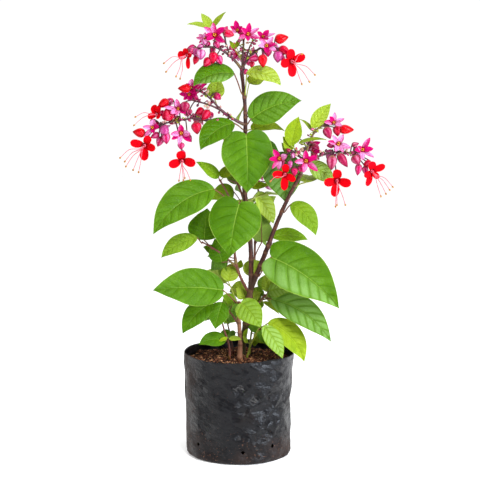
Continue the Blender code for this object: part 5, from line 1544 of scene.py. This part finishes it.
def film_solid(settings):
    """The bag as one closed skin of film: outside, rim, inside and flat foot."""
    turns = np.linspace(-math.pi, math.pi, settings.bag_sides, endpoint=False)
    outside = np.concatenate((FOOT_LEVELS, np.linspace(BAG_CORNER, BAG_HEIGHT, FILM_ROWS[0])))
    inside = np.linspace(BAG_HEIGHT, FILM_FLOOR, FILM_ROWS[1])
    rim = RIM_SAG * Ripple(21)(turns * 0.7, turns * 0)
    rings = []
    for levels, film in ((outside, 0.0), (inside, FILM)):
        for z in levels:
            radius = bag_wall(turns, np.full_like(turns, z), settings) - film
            height = z + (rim - RIM_SAG) * (z / BAG_HEIGHT) ** 8
            rings.append(np.stack((radius * np.cos(turns), radius * np.sin(turns), height), -1))
    points = np.concatenate(rings + [np.array(((0, 0, 0), (0, 0, FILM_FLOOR)))])
    return points, tube_faces(len(rings), len(turns))


def drain_cutters():
    """Diamond prisms through the film, round the bag's foot, each a little out of line."""
    for index, (slip, rise) in enumerate(DRAIN_SLIPS):
        turn = math.radians(DRAIN_TURN + slip + 360 * index / DRAIN_HOLES - 90)
        out = np.array((math.cos(turn), math.sin(turn), 0.0))
        side = np.array((-math.sin(turn), math.cos(turn), 0.0))
        points = []
        for reach in (BAG_FOOT_RADIUS - DRAIN_CUT, BAG_FOOT_RADIUS + DRAIN_CUT):
            middle = out * reach + UP * (DRAIN_HEIGHT + rise)
            points += [middle + way * DRAIN_WIDTH / 2 for way in (side, UP, -side, -UP)]
        faces = [(3, 2, 1, 0), (4, 5, 6, 7)] + [(k, (k + 1) % 4, 4 + (k + 1) % 4, 4 + k) for k in range(4)]
        mesh = bpy.data.meshes.new(f"drain_{index}")
        mesh.from_pydata([tuple(point) for point in points], [], faces)
        cutter = bpy.data.objects.new(mesh.name, mesh)
        bpy.context.scene.collection.objects.link(cutter)
        yield cutter


def cut_drains(piece):
    """Cuts the drain holes out of the film and clears the cutters away."""
    group = bpy.data.collections.new("drains")
    cutters = list(drain_cutters())
    for cutter in cutters:
        group.objects.link(cutter)
    cut = piece.modifiers.new("Drains", "BOOLEAN")
    cut.operation = "DIFFERENCE"
    cut.operand_type = "COLLECTION"
    cut.collection = group
    cut.solver = "MANIFOLD"
    graph = bpy.context.evaluated_depsgraph_get()
    mesh = bpy.data.meshes.new_from_object(piece.evaluated_get(graph))
    piece.modifiers.clear()
    piece.data = mesh
    for cutter in cutters:
        bpy.data.objects.remove(cutter, do_unlink=True)
    bpy.data.collections.remove(group)


def coir_chip(skin, rng, place, size, finish):
    """One flake of coir: a bent, six-sided crumb lying at its own angle."""
    way = unit(np.array((rng.uniform(-1, 1), rng.uniform(-1, 1), rng.uniform(-0.35, 0.6))))
    _, side, up = head_axes(way)
    length, width, thick = size * rng.uniform(0.8, 1.5), size * rng.uniform(0.25, 0.5), size * 0.2
    points = []
    for along, spread in ((-0.5, 0.6), (0.1, 1.0), (0.5, 0.4)):
        middle = place + way * along * length + up * thick * (0.5 - along**2) * rng.uniform(0, 2)
        points += [middle + side * width * spread / 2, middle + up * thick,
                   middle - side * width * spread / 2, middle - up * thick * 0.5]
    faces = [(0, 3, 2, 1), (8, 9, 10, 11)]
    for k in range(2):
        foot, head = 4 * k, 4 * k + 4
        faces += [(foot + i, foot + (i + 1) % 4, head + (i + 1) % 4, head + i) for i in range(4)]
    skin.add(points, (faces,), finish=finish)


def bed_height(x, y):
    """The top of the potting mix: a soft heap with small hollows."""
    ripple = Ripple(31)
    from_middle = np.hypot(x, y) / BAG_RIM_RADIUS
    hollows = BED_HOLLOWS * ripple(x / BED_HOLLOW_WIDTH, y / BED_HOLLOW_WIDTH)
    return MIX_LEVEL - BED_DROP - BED_HEAP * from_middle**2 + hollows


def mix_bed(settings):
    """The body of the mix: its heaped top meets the film, its sides and floor stand clear of it."""
    bed = Skin()
    reach = np.concatenate((np.linspace(0, 1, BED_RINGS)[1:], (1.0, 1.0)))
    turns = np.linspace(-math.pi, math.pi, BED_SIDES, endpoint=False)
    share, turn = np.meshgrid(reach, turns, indexing="ij")
    inner = bag_wall(turns, np.full_like(turns, MIX_LEVEL), settings) - FILM - BED_GAP
    x, y = share * np.cos(turn) * inner[None, :], share * np.sin(turn) * inner[None, :]
    z = bed_height(x, y)
    tuck, clearance = BED_TUCK
    for ring, level in ((-2, MIX_LEVEL - tuck), (-1, BED_FLOOR)):
        radius = bag_radius(level) - FILM - settings.buckle_depth - clearance
        x[ring], y[ring], z[ring] = radius * np.cos(turns), radius * np.sin(turns), level
    points = np.stack((x, y, z), -1).reshape(-1, 3)
    points = np.concatenate((points, ((0, 0, float(bed_height(0, 0))), (0, 0, BED_FLOOR))))
    bed.add(points, [part[:, ::-1] for part in tube_faces(*x.shape)])
    return bed


def strewn_chips(settings):
    """Chips strewn over the bed in three tones, with more pale ones in front."""
    chips = Skin()
    rng = random.Random(CHIP_SEED)
    for _ in range(settings.chips):
        out = (BAG_RIM_RADIUS - CHIP_MARGIN) * math.sqrt(rng.random())
        turn = rng.uniform(0, 2 * math.pi)
        x, y = out * math.cos(turn), out * math.sin(turn)
        z = float(bed_height(x, y)) + rng.uniform(*CHIP_LIFT)
        front = 0.5 - 0.5 * y / BAG_RIM_RADIUS
        lot = rng.random()
        finish = 2 if lot < CHIP_PALE[0] + CHIP_PALE[1] * front else 1 if lot < CHIP_BROWN else 0
        size = settings.chip_size * rng.uniform(*CHIP_SIZES)
        coir_chip(chips, rng, np.array((x, y, z)), size, finish)
    return chips


# ---------------------------------------------------------------- the add-on's settings
def length_setting(name, description, default):
    """A setting in metres."""
    return FloatProperty(name=name, description=description, default=default, unit="LENGTH")


def share_setting(name, description, default):
    """A setting that says how much of something there is."""
    return FloatProperty(name=name, description=description, default=default, subtype="FACTOR")


def colour_setting(name, description, red, green, blue):
    """A colour setting, given as it shows on screen."""
    shown = tint(red, green, blue)
    return FloatVectorProperty(name=name, description=description, subtype="COLOR", default=shown)


class BagSettings(PropertyGroup):
    """The grow bag and its potting mix."""

    buckle_depth: length_setting("Buckle depth", "How deep the film's dents are", 0.0060)
    buckle_width: length_setting("Buckle width", "Width of one diamond of the buckled film", 0.034)
    buckle_height: length_setting("Buckle height", "Height of one row of diamonds", 0.0174)
    bag_sides: IntProperty(
        name="Sides", description="Faces round the film", default=420, min=64)
    film: colour_setting("Film colour", "The film where it is clean", 6, 6, 10)
    dust_colour: colour_setting("Dust colour", "The dust on the film", 64, 42, 30)
    dust: share_setting("Dust", "How much of the film the dust hides", 0.42)
    chips: IntProperty(
        name="Coir chips", description="Number of chips strewn on the mix", default=5200, min=0)
    chip_size: length_setting("Chip size", "Mean length of a coir chip", 0.0030)


class LeafSettings(PropertyGroup):
    """The leaf blades."""

    thickness: length_setting("Thickness", "Thickness of a blade at its midrib", 0.0005)
    relief: share_setting("Quilting", "Strength of the relief between the veins", 1.05)
    vein_sweep: share_setting(
        "Vein sweep", "How far forward the side veins run: 1 for none, less for more", 0.52)
    stalk_radius: length_setting("Stalk radius", "Radius of a leaf stalk", 0.0009)
    lime: colour_setting("Young leaf", "The youngest leaves", 148, 168, 20)
    fresh: colour_setting("Fresh leaf", "Half-grown leaves", 116, 148, 10)
    mid: colour_setting("Grown leaf", "Full-grown leaves", 84, 126, 0)
    # painted shade: the shaded leaf's green is a darker copy for leaves in the shade inside the bush
    deep: colour_setting("Shaded leaf", "Leaves inside the bush", 70, 110, 4)


class FlowerSettings(PropertyGroup):
    """The flower heads."""

    pedicel_radius: length_setting("Pedicel radius", "Radius of a flower's stalk", 0.0008)
    stamen_radius: length_setting("Stamen radius", "Radius of a stamen", 0.00048)
    anther: length_setting("Anther size", "Width of an anther", 0.0026)
    sepal: colour_setting("Sepal", "The open calyx", 180, 4, 92)
    # painted highlight: the pale colour on the lobe halves that face the light, broken into streaks
    sepal_highlight: colour_setting("Sepal highlight", "The calyx's painted highlight, in streaks", 206, 138, 186)
    petal: colour_setting("Petal", "The scarlet corolla", 192, 0, 12)
    bud: colour_setting("Bud", "The closed calyx", 180, 4, 78)


class StageSettings(PropertyGroup):
    """The studio round the plant."""

    distance: length_setting("Camera distance", "How far in front of the plant the camera stands", 1.85)
    height: length_setting("Camera height", "Height of the camera", 0.555)
    pitch: FloatProperty(
        name="Camera pitch", description="How far down the camera looks",
        default=math.radians(8.06), subtype="ANGLE")
    lens: FloatProperty(
        name="Lens", description="The camera's focal length in millimetres", default=103.875)
    backdrop: FloatProperty(
        name="Backdrop", description="Brightness of the white sweep behind the plant", default=1.05)
    room: FloatProperty(
        name="Room", description="Brightness of the room in front of the plant", default=0.30)
    key: FloatProperty(
        name="Key light", description="Power of the main soft light, in watts", default=31.0)
    edge: FloatProperty(
        name="Edge light", description="Power of the light low on the right, in watts", default=40.0)
    fill: FloatProperty(
        name="Fill light", description="Power of the softer light beside it, in watts", default=4.0)


# ---------------------------------------------------------------- one operator a piece
class PLANT_OT_grow_bag(Operator):
    """Make the buckled film of the grow bag, with its drain holes"""

    bl_idname = "plant.grow_bag"
    bl_label = "Grow bag"

    def execute(self, context):
        settings = context.scene.plant_bag
        skin = Skin()
        points, faces = film_solid(settings)
        skin.add(points, faces)
        piece = skin.build("grow_bag_film", [film_finish(settings)], "bag_film", ["grow_bag"])
        cut_drains(piece)
        return {"FINISHED"}


class PLANT_OT_potting_mix(Operator):
    """Fill the bag with coir and strew chips over it"""

    bl_idname = "plant.potting_mix"
    bl_label = "Potting mix"

    def execute(self, context):
        settings = context.scene.plant_bag
        dark = grain_finish("coir_dark", tint(26, 12, 7), tint(58, 31, 18), 500.0, 0.8)
        brown = grain_finish("coir_brown", tint(84, 44, 25), tint(124, 70, 42), 700.0, 0.7)
        pale = grain_finish("coir_pale", tint(158, 104, 68), tint(206, 152, 108), 700.0, 0.7)
        mix_bed(settings).build("coir_bed", [dark], "coir_mix", ["potting_mix"])
        strewn_chips(settings).build("coir_chips", [dark, brown, pale], "coir_mix")
        return {"FINISHED"}


def joints_on(limb):
    """Where leaves and limbs leave a limb, as shares of its length."""
    places = {round(leaf.at, 2) for leaf in STEM_LEAVES + TWIG_LEAVES if leaf.limb == limb.name}
    places |= {round(other.at, 2) for other in STEMS + SHOOTS + SPRAYS if other.parent == limb.name}
    return sorted(places)


class PLANT_OT_stems(Operator):
    """Make the trunk, leader, bough and old stub with the relief of their bark"""

    bl_idname = "plant.stems"
    bl_label = "Trunk and boughs"

    def execute(self, context):
        dark = bark_finish("bark_purple_brown", tint(82, 42, 32), tint(122, 82, 60), tint(44, 18, 16),
                           tint(66, 56, 22), tint(104, 72, 48))
        pale = bark_finish("bark_tan", tint(146, 98, 68), tint(184, 142, 110), tint(104, 56, 42),
                           tint(148, 102, 74), tint(72, 26, 24))
        stems = Skin()
        dark_limbs = [limb for limb in STEMS if limb.name != "woody_stub"]
        for limb in dark_limbs:
            stem(stems, limb, joints_on(limb), STEM_BARK)
        stems.build("dark_bark_stems", [dark], "dark_bark", [limb.name for limb in dark_limbs])
        stub = Skin()
        stem(stub, LIMBS["woody_stub"], STUB_JOINTS, STUB_BARK)
        stub.build("pale_bark_stub", [pale], "pale_bark", ["woody_stub"])
        return {"FINISHED"}


def tone_of(leaf):
    """A leaf's form: its own, or one dealt out by its name among those behind."""
    if leaf.name in FORMS:
        return FORMS[leaf.name]
    if "inner" in leaf.name or "mid" in leaf.name:
        return YOUNG if random.Random(leaf.name).random() < YOUNG_INSIDE else FRESH
    return DEALT_FORMS[random.Random(leaf.name).randrange(len(DEALT_FORMS))]


class PLANT_OT_shoots(Operator):
    """Make the leafy shoots, and a stalk with its midrib for every leaf"""

    bl_idname = "plant.shoots"
    bl_label = "Shoots and leaf stalks"

    def execute(self, context):
        settings = context.scene.plant_leaf
        red = twig_finish("stalk_red_brown", tint(98, 44, 26), tint(112, 96, 24), tint(148, 88, 54))
        green = twig_finish("stalk_green", tint(134, 142, 40), tint(160, 168, 60), tint(190, 190, 100))
        shoots = Skin()
        for limb in SHOOTS:
            finish = 1 if limb.name in GREEN_SHOOTS else 0
            stem(shoots, limb, joints_on(limb), SHOOT_BARK, finish)
        foliage = [name for name in frame["nodes"] if name.endswith("_foliage")]
        shoots.build("shoot_twigs", [red, green], "foliage", foliage)
        stalks = Skin()
        for leaf in STEM_LEAVES + TWIG_LEAVES:
            young = tone_of(leaf).tone == "lime"
            radius = settings.stalk_radius * min(1.0, 0.45 + leaf.length / 0.10)
            skin = Skin()
            rib(skin, leaf, leaf_stalk(leaf), radius)
            stalks.add(skin.points[0], [np.array(face)[None] for face in skin.faces],
                       skin.places[0], 1 if young else 0)
        stalks.build("leaf_stalks", [red, green], "foliage")
        return {"FINISHED"}


class PLANT_OT_leaves(Operator):
    """Make the leaf blades, one piece for each tone of green"""

    bl_idname = "plant.leaves"
    bl_label = "Leaves"

    def execute(self, context):
        settings = context.scene.plant_leaf
        nodes = {leaf.name for leaf in STEM_LEAVES}
        for tone, gloss in LEAF_GLOSS.items():
            face = np.array(getattr(settings, tone))
            # deep: darker green for the real mottling, and painted shade in the sunk veins and on blades
            # that take little light
            deep = face * (0.50, 0.62, 0.50)
            vein = face * 0.55 + np.array(tint(176, 196, 92)) * 0.45
            edge = face * 0.45 + np.array(tint(190, 206, 96)) * 0.55
            # painted sheen: the pale colour painted on the quilts' crowns where a blade catches light
            painted_sheen = face * 0.80 + np.array(tint(158, 188, 132)) * 0.38
            upper = leaf_finish(f"leaf_{tone}", tuple(face), tuple(deep), tuple(painted_sheen), tuple(vein),
                                tuple(edge), gloss)
            pale = face * 0.7 + np.array(tint(150, 172, 92)) * 0.3
            lower = leaf_back_finish(f"leaf_{tone}_back", tuple(pale), tuple(vein))
            skin = Skin()
            leaves = [leaf for leaf in STEM_LEAVES + TWIG_LEAVES if tone_of(leaf).tone == tone]
            for leaf in leaves:
                blade(skin, leaf, tone_of(leaf), leaf_stalk(leaf)[2], settings)
            own_nodes = [leaf.name for leaf in leaves if leaf.name in nodes]
            skin.build(f"leaves_{tone}", [upper, lower], "foliage", own_nodes)
        return {"FINISHED"}


# ---------------------------------------------------------------- the flowers
def pedicel(skin, start, end, radius):
    """A thin stalk that leaves its twig and turns to meet the foot of a head."""
    lift = UP * min(0.003, 0.16 * np.linalg.norm(end - start))
    line = bow((start, start * 0.6 + end * 0.4 + lift * 0.6, start * 0.15 + end * 0.85 + lift * 0.4, end), 4)
    sweep(skin, line, np.linspace(radius, radius * 1.15, len(line)), 6)


def foot_of(head):
    """Where a head's stalk ends: the back of its bud, calyx or corolla tube."""
    back, lift = HEAD_FEET[head.kind]
    behind = heading(head.azimuth, head.rise) * head.size * back
    return np.array(head.place) - behind + UP * head.size * lift


def way_of(bud):
    """The direction from a front bud's foot to its tip."""
    turn, lean = math.radians(bud.way), math.radians(bud.lean)
    return np.array((math.cos(turn) * math.cos(lean), -math.sin(lean), math.sin(turn) * math.cos(lean)))


class PLANT_OT_panicles(Operator):
    """Make the panicles' twigs, the flowers' stalks, and the bracts and specks of bud among them"""

    bl_idname = "plant.panicles"
    bl_label = "Panicles"

    def execute(self, context):
        settings = context.scene.plant_flower
        purple = twig_finish("stalk_purple", tint(70, 26, 36), tint(108, 90, 38), tint(124, 66, 76))
        # the bracts' first pale tone is painted sheen, as on the leaves
        lime = leaf_finish("bract_lime", tint(156, 178, 30), tint(120, 140, 20), tint(190, 200, 90),
                           tint(190, 200, 90), tint(190, 200, 90), 0.45)
        # the specks' pale tone is painted highlight, their dark tone painted shade in the seams and a darker
        # tip
        speck = bud_finish("bud_speck", tint(150, 36, 84), tint(206, 128, 150), tint(84, 10, 40),
                           tint(120, 110, 50))
        plum = grain_finish("speck_plum", tint(70, 14, 40), tint(120, 30, 70), 700.0)
        cream = grain_finish("speck_cream", tint(196, 140, 150), tint(170, 150, 96), 700.0)
        twigs = Skin()
        for limb in SPRAYS:
            foot_radius, tip_radius = limb.foot_radius * TWIG_STOUT[0], limb.tip_radius * TWIG_STOUT[1]
            stout = limb._replace(foot_radius=foot_radius, tip_radius=tip_radius)
            stem(twigs, stout, joints_on(limb), TWIG_BARK)
        for head in all_heads():
            foot = foot_of(head)
            pedicel(twigs, nearest_on_twigs(head.cluster, foot), foot, settings.pedicel_radius)
        for bud in BUDS:
            foot = np.array(bud.place) - way_of(bud) * bud.length * HEAD_FEET["bud"][0]
            pedicel(twigs, nearest_on_twigs(bud.cluster, foot), foot, settings.pedicel_radius)
        specks, bracts = Skin(), Skin()
        rng = random.Random(SPECK_SEED)
        for limb in SPRAYS:
            reach = np.linalg.norm(np.array(limb.tip) - limb_start(limb))
            spacing = SPECK_SPACING_TOP if cluster_of(limb.name) == "blossom_top" else SPECK_SPACING
            for _ in range(int(reach / spacing)):
                s = rng.uniform(0.45, 0.98)
                way = heading(rng.uniform(0, 360), rng.uniform(-50, 60))
                start, span = limb_point(limb, s), rng.uniform(*SPECK_STALKS)
                end = start + way * span
                if rng.random() < SPECK_SHARE:
                    pedicel(twigs, start, end, settings.pedicel_radius * 0.8)
                    size = rng.uniform(*SPECK_SIZES)
                    spindle(specks, end + way * size * 0.4, way, size, size * 0.66, rng.random(),
                            finish=rng.choice((0, 0, 1, 2)))
                else:
                    span += BRACT_EXTRA
                    azimuth = math.degrees(math.atan2(way[1], way[0]))
                    rise = math.degrees(math.asin(way[2]))
                    bract = Leaf("bract", limb.name, s, 0, 0, 0, azimuth, rise, span, span * 0.42, 30, 45)
                    blade(bracts, bract, YOUNG, start, context.scene.plant_leaf)
        blossom = [name for name in frame["nodes"] if name.startswith("blossom_")]
        twigs.build("panicle_twigs", [purple], "blossom", blossom)
        specks.build("bud_specks", [speck, plum, cream], "blossom")
        bracts.build("panicle_bracts", [lime, lime], "foliage")
        return {"FINISHED"}


def throat(throats, place, direction, size, rng):
    """The dark ball in an open calyx, with a few grains round it."""
    bead(throats, place - direction * size * 0.16, size * 0.34, 0.7, way=direction)
    _, side, other = head_axes(direction)
    for k in range(THROAT_GRAINS):
        turn = 2 * math.pi * (k + rng.random() * 0.6) / THROAT_GRAINS
        out = (side * math.cos(turn) + other * math.sin(turn)) * size * 0.09
        bead(throats, place + out + direction * size * 0.02, size * 0.10, finish=1)


def front_bud(buds, stars, bud, finish, rng):
    """A closed bud seen from the front; a long red one stands in a collar of sepals."""
    place, way = np.array(bud.place), way_of(bud)
    depth = SMOOTH_RIBS if bud.tone == "scarlet" else DEEP_RIBS
    spindle(buds, place, way, bud.length, bud.width, rng.uniform(0.1, 0.9), depth, BUD_BLUNT, finish)
    if bud.tone in ("crimson", "scarlet") and bud.length > COLLAR_LENGTH:
        foot = place - way * bud.length * COLLAR_BACK
        turn = rng.uniform(0, 360 / SEPALS)
        sepals(stars, foot, way, bud.width * COLLAR_SIZE, turn, rng, COLLAR_OPENING)


class PLANT_OT_calyces(Operator):
    """Make the open pink calyces and the closed buds"""

    bl_idname = "plant.calyces"
    bl_label = "Calyces and buds"

    def execute(self, context):
        settings = context.scene.plant_flower
        # the sepal highlight is painted highlight; the deep magenta is painted shade along the lobes'
        # midline
        sepal = sepal_finish("sepal_pink", tuple(settings.sepal), tuple(settings.sepal_highlight),
                             tint(124, 0, 54), tint(146, 8, 10))
        # each tone: face, its painted highlight, deep for the painted shade in the seams and the darker tip,
        # and foot
        bud_tones = {
            "pink": (tuple(settings.bud), tint(196, 104, 152), tint(118, 0, 42), tint(128, 70, 62)),
            "lilac": (tint(168, 54, 118), tint(206, 160, 194), tint(118, 8, 70), tint(130, 74, 74)),
            "rose": (tint(148, 16, 64), tint(190, 110, 138), tint(86, 3, 30), tint(124, 96, 60)),
            "crimson": (tint(184, 0, 44), tint(206, 66, 100), tint(116, 0, 18), tint(120, 56, 48)),
            "scarlet": (tint(190, 0, 14), tint(210, 26, 48), tint(116, 0, 6), tint(150, 44, 44)),
        }
        finishes = [bud_finish(f"bud_{tone}", *colours) for tone, colours in bud_tones.items()]
        tones = list(bud_tones)
        seed_ball = grain_finish("throat_dark", tint(84, 8, 8), tint(190, 60, 16), 900.0, 0.4)
        grain = grain_finish("throat_grain", tint(226, 140, 8), tint(150, 150, 20), 900.0, 0.5)
        front = heading(*STAR_FACING)
        own_lobes = iter(STAR_LOBES)
        stars, buds, throats = Skin(), Skin(), Skin()
        for number, head in enumerate(all_heads()):
            rng = random.Random(number)
            place, direction = np.array(head.place), heading(head.azimuth, head.rise)
            if head.kind == "star":
                lobes = next(own_lobes, None)
                if lobes:
                    direction = unit(front * STAR_TURNED + direction)
                    star(stars, place, direction, lobes, rng)
                else:
                    sepals(stars, place, direction, head.size, 0.0, rng)
                throat(throats, place, direction, head.size, rng)
            elif head.kind == "bud":
                spindle(buds, place, direction, head.size * 0.92, BUD_WIDTH * rng.uniform(0.84, 1.0),
                        rng.random(), finish=rng.choice((0, 0, 1, 3)))
            else:
                foot = foot_of(head)
                way = unit(place - foot)
                reach, length, width = BLOOM_CALYX
                spindle(buds, foot + way * reach, way, length, width, rng.random())
        for number, bud in enumerate(BUDS):
            front_bud(buds, stars, bud, tones.index(bud.tone), random.Random(BUD_SEED + number))
        stars.build("sepal_stars", [sepal], "blossom")
        buds.build("flower_buds", finishes, "blossom")
        throats.build("calyx_throats", [seed_ball, grain], "blossom")
        return {"FINISHED"}


def stamen_bend(place, tip):
    """Where a stamen arches over on its way from the throat to its tip."""
    across, _, up = tip - place
    return place + (tip - place) * 0.62 + UP * 0.16 * abs(across) - UP * 0.02 * abs(up)


def stamen_line(place, direction, tip):
    """A stamen's line: out of the throat, over its bend and down to its tip."""
    across, _, up = tip - place
    out = place + direction * STAMEN_OUT + np.array((across, 0.0, up)) * 0.16
    return bow((place, out, stamen_bend(place, tip), tip), 7)


class PLANT_OT_blooms(Operator):
    """Make the scarlet corollas, their tubes, and the long stamens with their anthers"""

    bl_idname = "plant.blooms"
    bl_label = "Blooms"

    def execute(self, context):
        settings = context.scene.plant_flower
        scarlet = petal_finish("petal_scarlet", tuple(settings.petal), tint(232, 4, 28), tint(84, 0, 4))
        tube = grain_finish("tube_pink", tint(196, 40, 70), tint(222, 110, 130), 300.0, 0.5)
        filament = grain_finish("stamen_pink", tint(206, 62, 84), tint(226, 120, 130), 200.0, 0.5)
        tan = grain_finish("anther_tan", tint(140, 82, 22), tint(190, 140, 60), 1500.0, 0.7)
        corollas, tubes, stamens, anthers = Skin(), Skin(), Skin(), Skin()
        blooms = [head for head in HEADS if head.kind == "bloom"]
        for number, (head, own, ends) in enumerate(zip(blooms, PETALS, ANTHERS)):
            rng = random.Random(BLOOM_SEED + number)
            place, direction = np.array(head.place), heading(head.azimuth, head.rise)
            petals(corollas, place, direction, head.size, own, rng)
            foot = foot_of(head)
            line = bow((foot, foot * 0.5 + place * 0.5 - UP * 0.0006, place - direction * 0.0022, place), 4)
            sweep(tubes, line, np.linspace(*TUBE_RADII, len(line)), 12)
            bead(tubes, place - direction * 0.0006, THROAT_SIZE, way=direction, finish=1)
            for across, up in ends:
                tip = place + np.array((across, rng.uniform(*STAMEN_FORWARD), up))
                thread = stamen_line(place, direction, tip)
                radii = np.linspace(settings.stamen_radius * 1.15, settings.stamen_radius * 0.8, len(thread))
                sweep(stamens, thread, radii, 6)
                bead(anthers, tip, settings.anther, 1.25, way=tip - stamen_bend(place, tip))
        dark = grain_finish("throat_black_red", tint(60, 4, 8), tint(104, 10, 16), 900.0, 0.4)
        corollas.build("scarlet_petals", [scarlet], "blossom")
        tubes.build("corolla_tubes", [tube, dark], "blossom")
        stamens.build("stamens", [filament], "blossom")
        anthers.build("anthers", [tan], "blossom")
        return {"FINISHED"}


# ---------------------------------------------------------------- the studio
def soft_light(name, place, aim, size, colour, power):
    """A round soft light that faces a point on the plant."""
    lamp = bpy.data.lights.new(name, "AREA")
    lamp.shape = "DISK"
    lamp.size = size
    lamp.energy = power
    lamp.color = colour
    light = bpy.data.objects.new(name, lamp)
    light.location = place
    way = Vector(aim) - Vector(place)
    light.rotation_euler = way.to_track_quat("-Z", "Y").to_euler()
    bpy.context.scene.collection.objects.link(light)


def studio_world(settings):
    """A white sweep behind the plant that dims towards the dark of the room before it."""
    world = bpy.data.worlds.new("white_studio")
    world.use_nodes = True
    tree = world.node_tree
    way = tree.nodes.new("ShaderNodeTexCoord")
    parts = tree.nodes.new("ShaderNodeSeparateXYZ")
    share = tree.nodes.new("ShaderNodeMapRange")
    share.interpolation_type = "SMOOTHSTEP"
    share.inputs["From Min"].default_value, share.inputs["From Max"].default_value = SWEEP
    share.inputs["To Min"].default_value = settings.room
    share.inputs["To Max"].default_value = settings.backdrop
    tree.links.new(way.outputs["Generated"], parts.inputs["Vector"])
    tree.links.new(parts.outputs["Y"], share.inputs["Value"])
    backdrop = tree.nodes["Background"]
    backdrop.inputs["Color"].default_value = (1.0, 1.0, 1.0, 1.0)
    tree.links.new(share.outputs["Result"], backdrop.inputs["Strength"])
    return world


class PLANT_OT_stage(Operator):
    """Set up the pale floor, the soft lights and the camera"""

    bl_idname = "plant.stage"
    bl_label = "Stage"

    def execute(self, context):
        settings = context.scene.plant_stage
        scene = context.scene
        scene.view_settings.view_transform = "Standard"
        scene.world = studio_world(settings)

        mesh = bpy.data.meshes.new("floor")
        corners = [(x * FLOOR_HALF, y * FLOOR_HALF, 0) for x, y in ((-1, -1), (1, -1), (1, 1), (-1, 1))]
        mesh.from_pydata(corners, [], [(0, 1, 2, 3)])
        mesh.materials.append(floor_finish())
        floor = bpy.data.objects.new("floor", mesh)
        scene.collection.objects.link(floor)

        powers = {"key": settings.key, "edge": settings.edge, "fill": settings.fill, "top": settings.fill}
        for name, lamp in LAMPS.items():
            soft_light(name, *lamp, powers[name])

        lens = bpy.data.cameras.new("camera")
        lens.lens = settings.lens
        lens.sensor_width = 36.0
        camera = bpy.data.objects.new("camera", lens)
        camera.location = (CAMERA_SIDE, -settings.distance, settings.height)
        camera.rotation_euler = (math.pi / 2 - settings.pitch, 0.0, 0.0)
        scene.collection.objects.link(camera)
        scene.camera = camera
        return {"FINISHED"}


PIECES = (
    PLANT_OT_grow_bag,
    PLANT_OT_potting_mix,
    PLANT_OT_stems,
    PLANT_OT_shoots,
    PLANT_OT_leaves,
    PLANT_OT_panicles,
    PLANT_OT_calyces,
    PLANT_OT_blooms,
    PLANT_OT_stage,
)
SETTINGS = {
    "plant_bag": BagSettings,
    "plant_leaf": LeafSettings,
    "plant_flower": FlowerSettings,
    "plant_stage": StageSettings,
}


class PLANT_PT_panel(Panel):
    """Lists the plant's pieces in the sidebar"""

    bl_idname = "PLANT_PT_panel"
    bl_label = "Glorybower in a grow bag"
    bl_space_type = "VIEW_3D"
    bl_region_type = "UI"
    bl_category = "Plant"

    def draw(self, context):
        for name, group in SETTINGS.items():
            box = self.layout.box()
            box.label(text=group.__doc__)
            for field in group.__annotations__:
                box.prop(getattr(context.scene, name), field)
        for piece in PIECES:
            self.layout.operator(piece.bl_idname)


def register():
    for group in SETTINGS.values():
        bpy.utils.register_class(group)
    for name, group in SETTINGS.items():
        setattr(bpy.types.Scene, name, PointerProperty(type=group))
    for piece in PIECES:
        bpy.utils.register_class(piece)
    bpy.utils.register_class(PLANT_PT_panel)


def unregister():
    bpy.utils.unregister_class(PLANT_PT_panel)
    for piece in reversed(PIECES):
        bpy.utils.unregister_class(piece)
    for name, group in SETTINGS.items():
        delattr(bpy.types.Scene, name)
        bpy.utils.unregister_class(group)


def main():
    register()
    for piece in PIECES:
        group, name = piece.bl_idname.split(".")
        getattr(getattr(bpy.ops, group), name)()


if __name__ == "__main__":
    main()
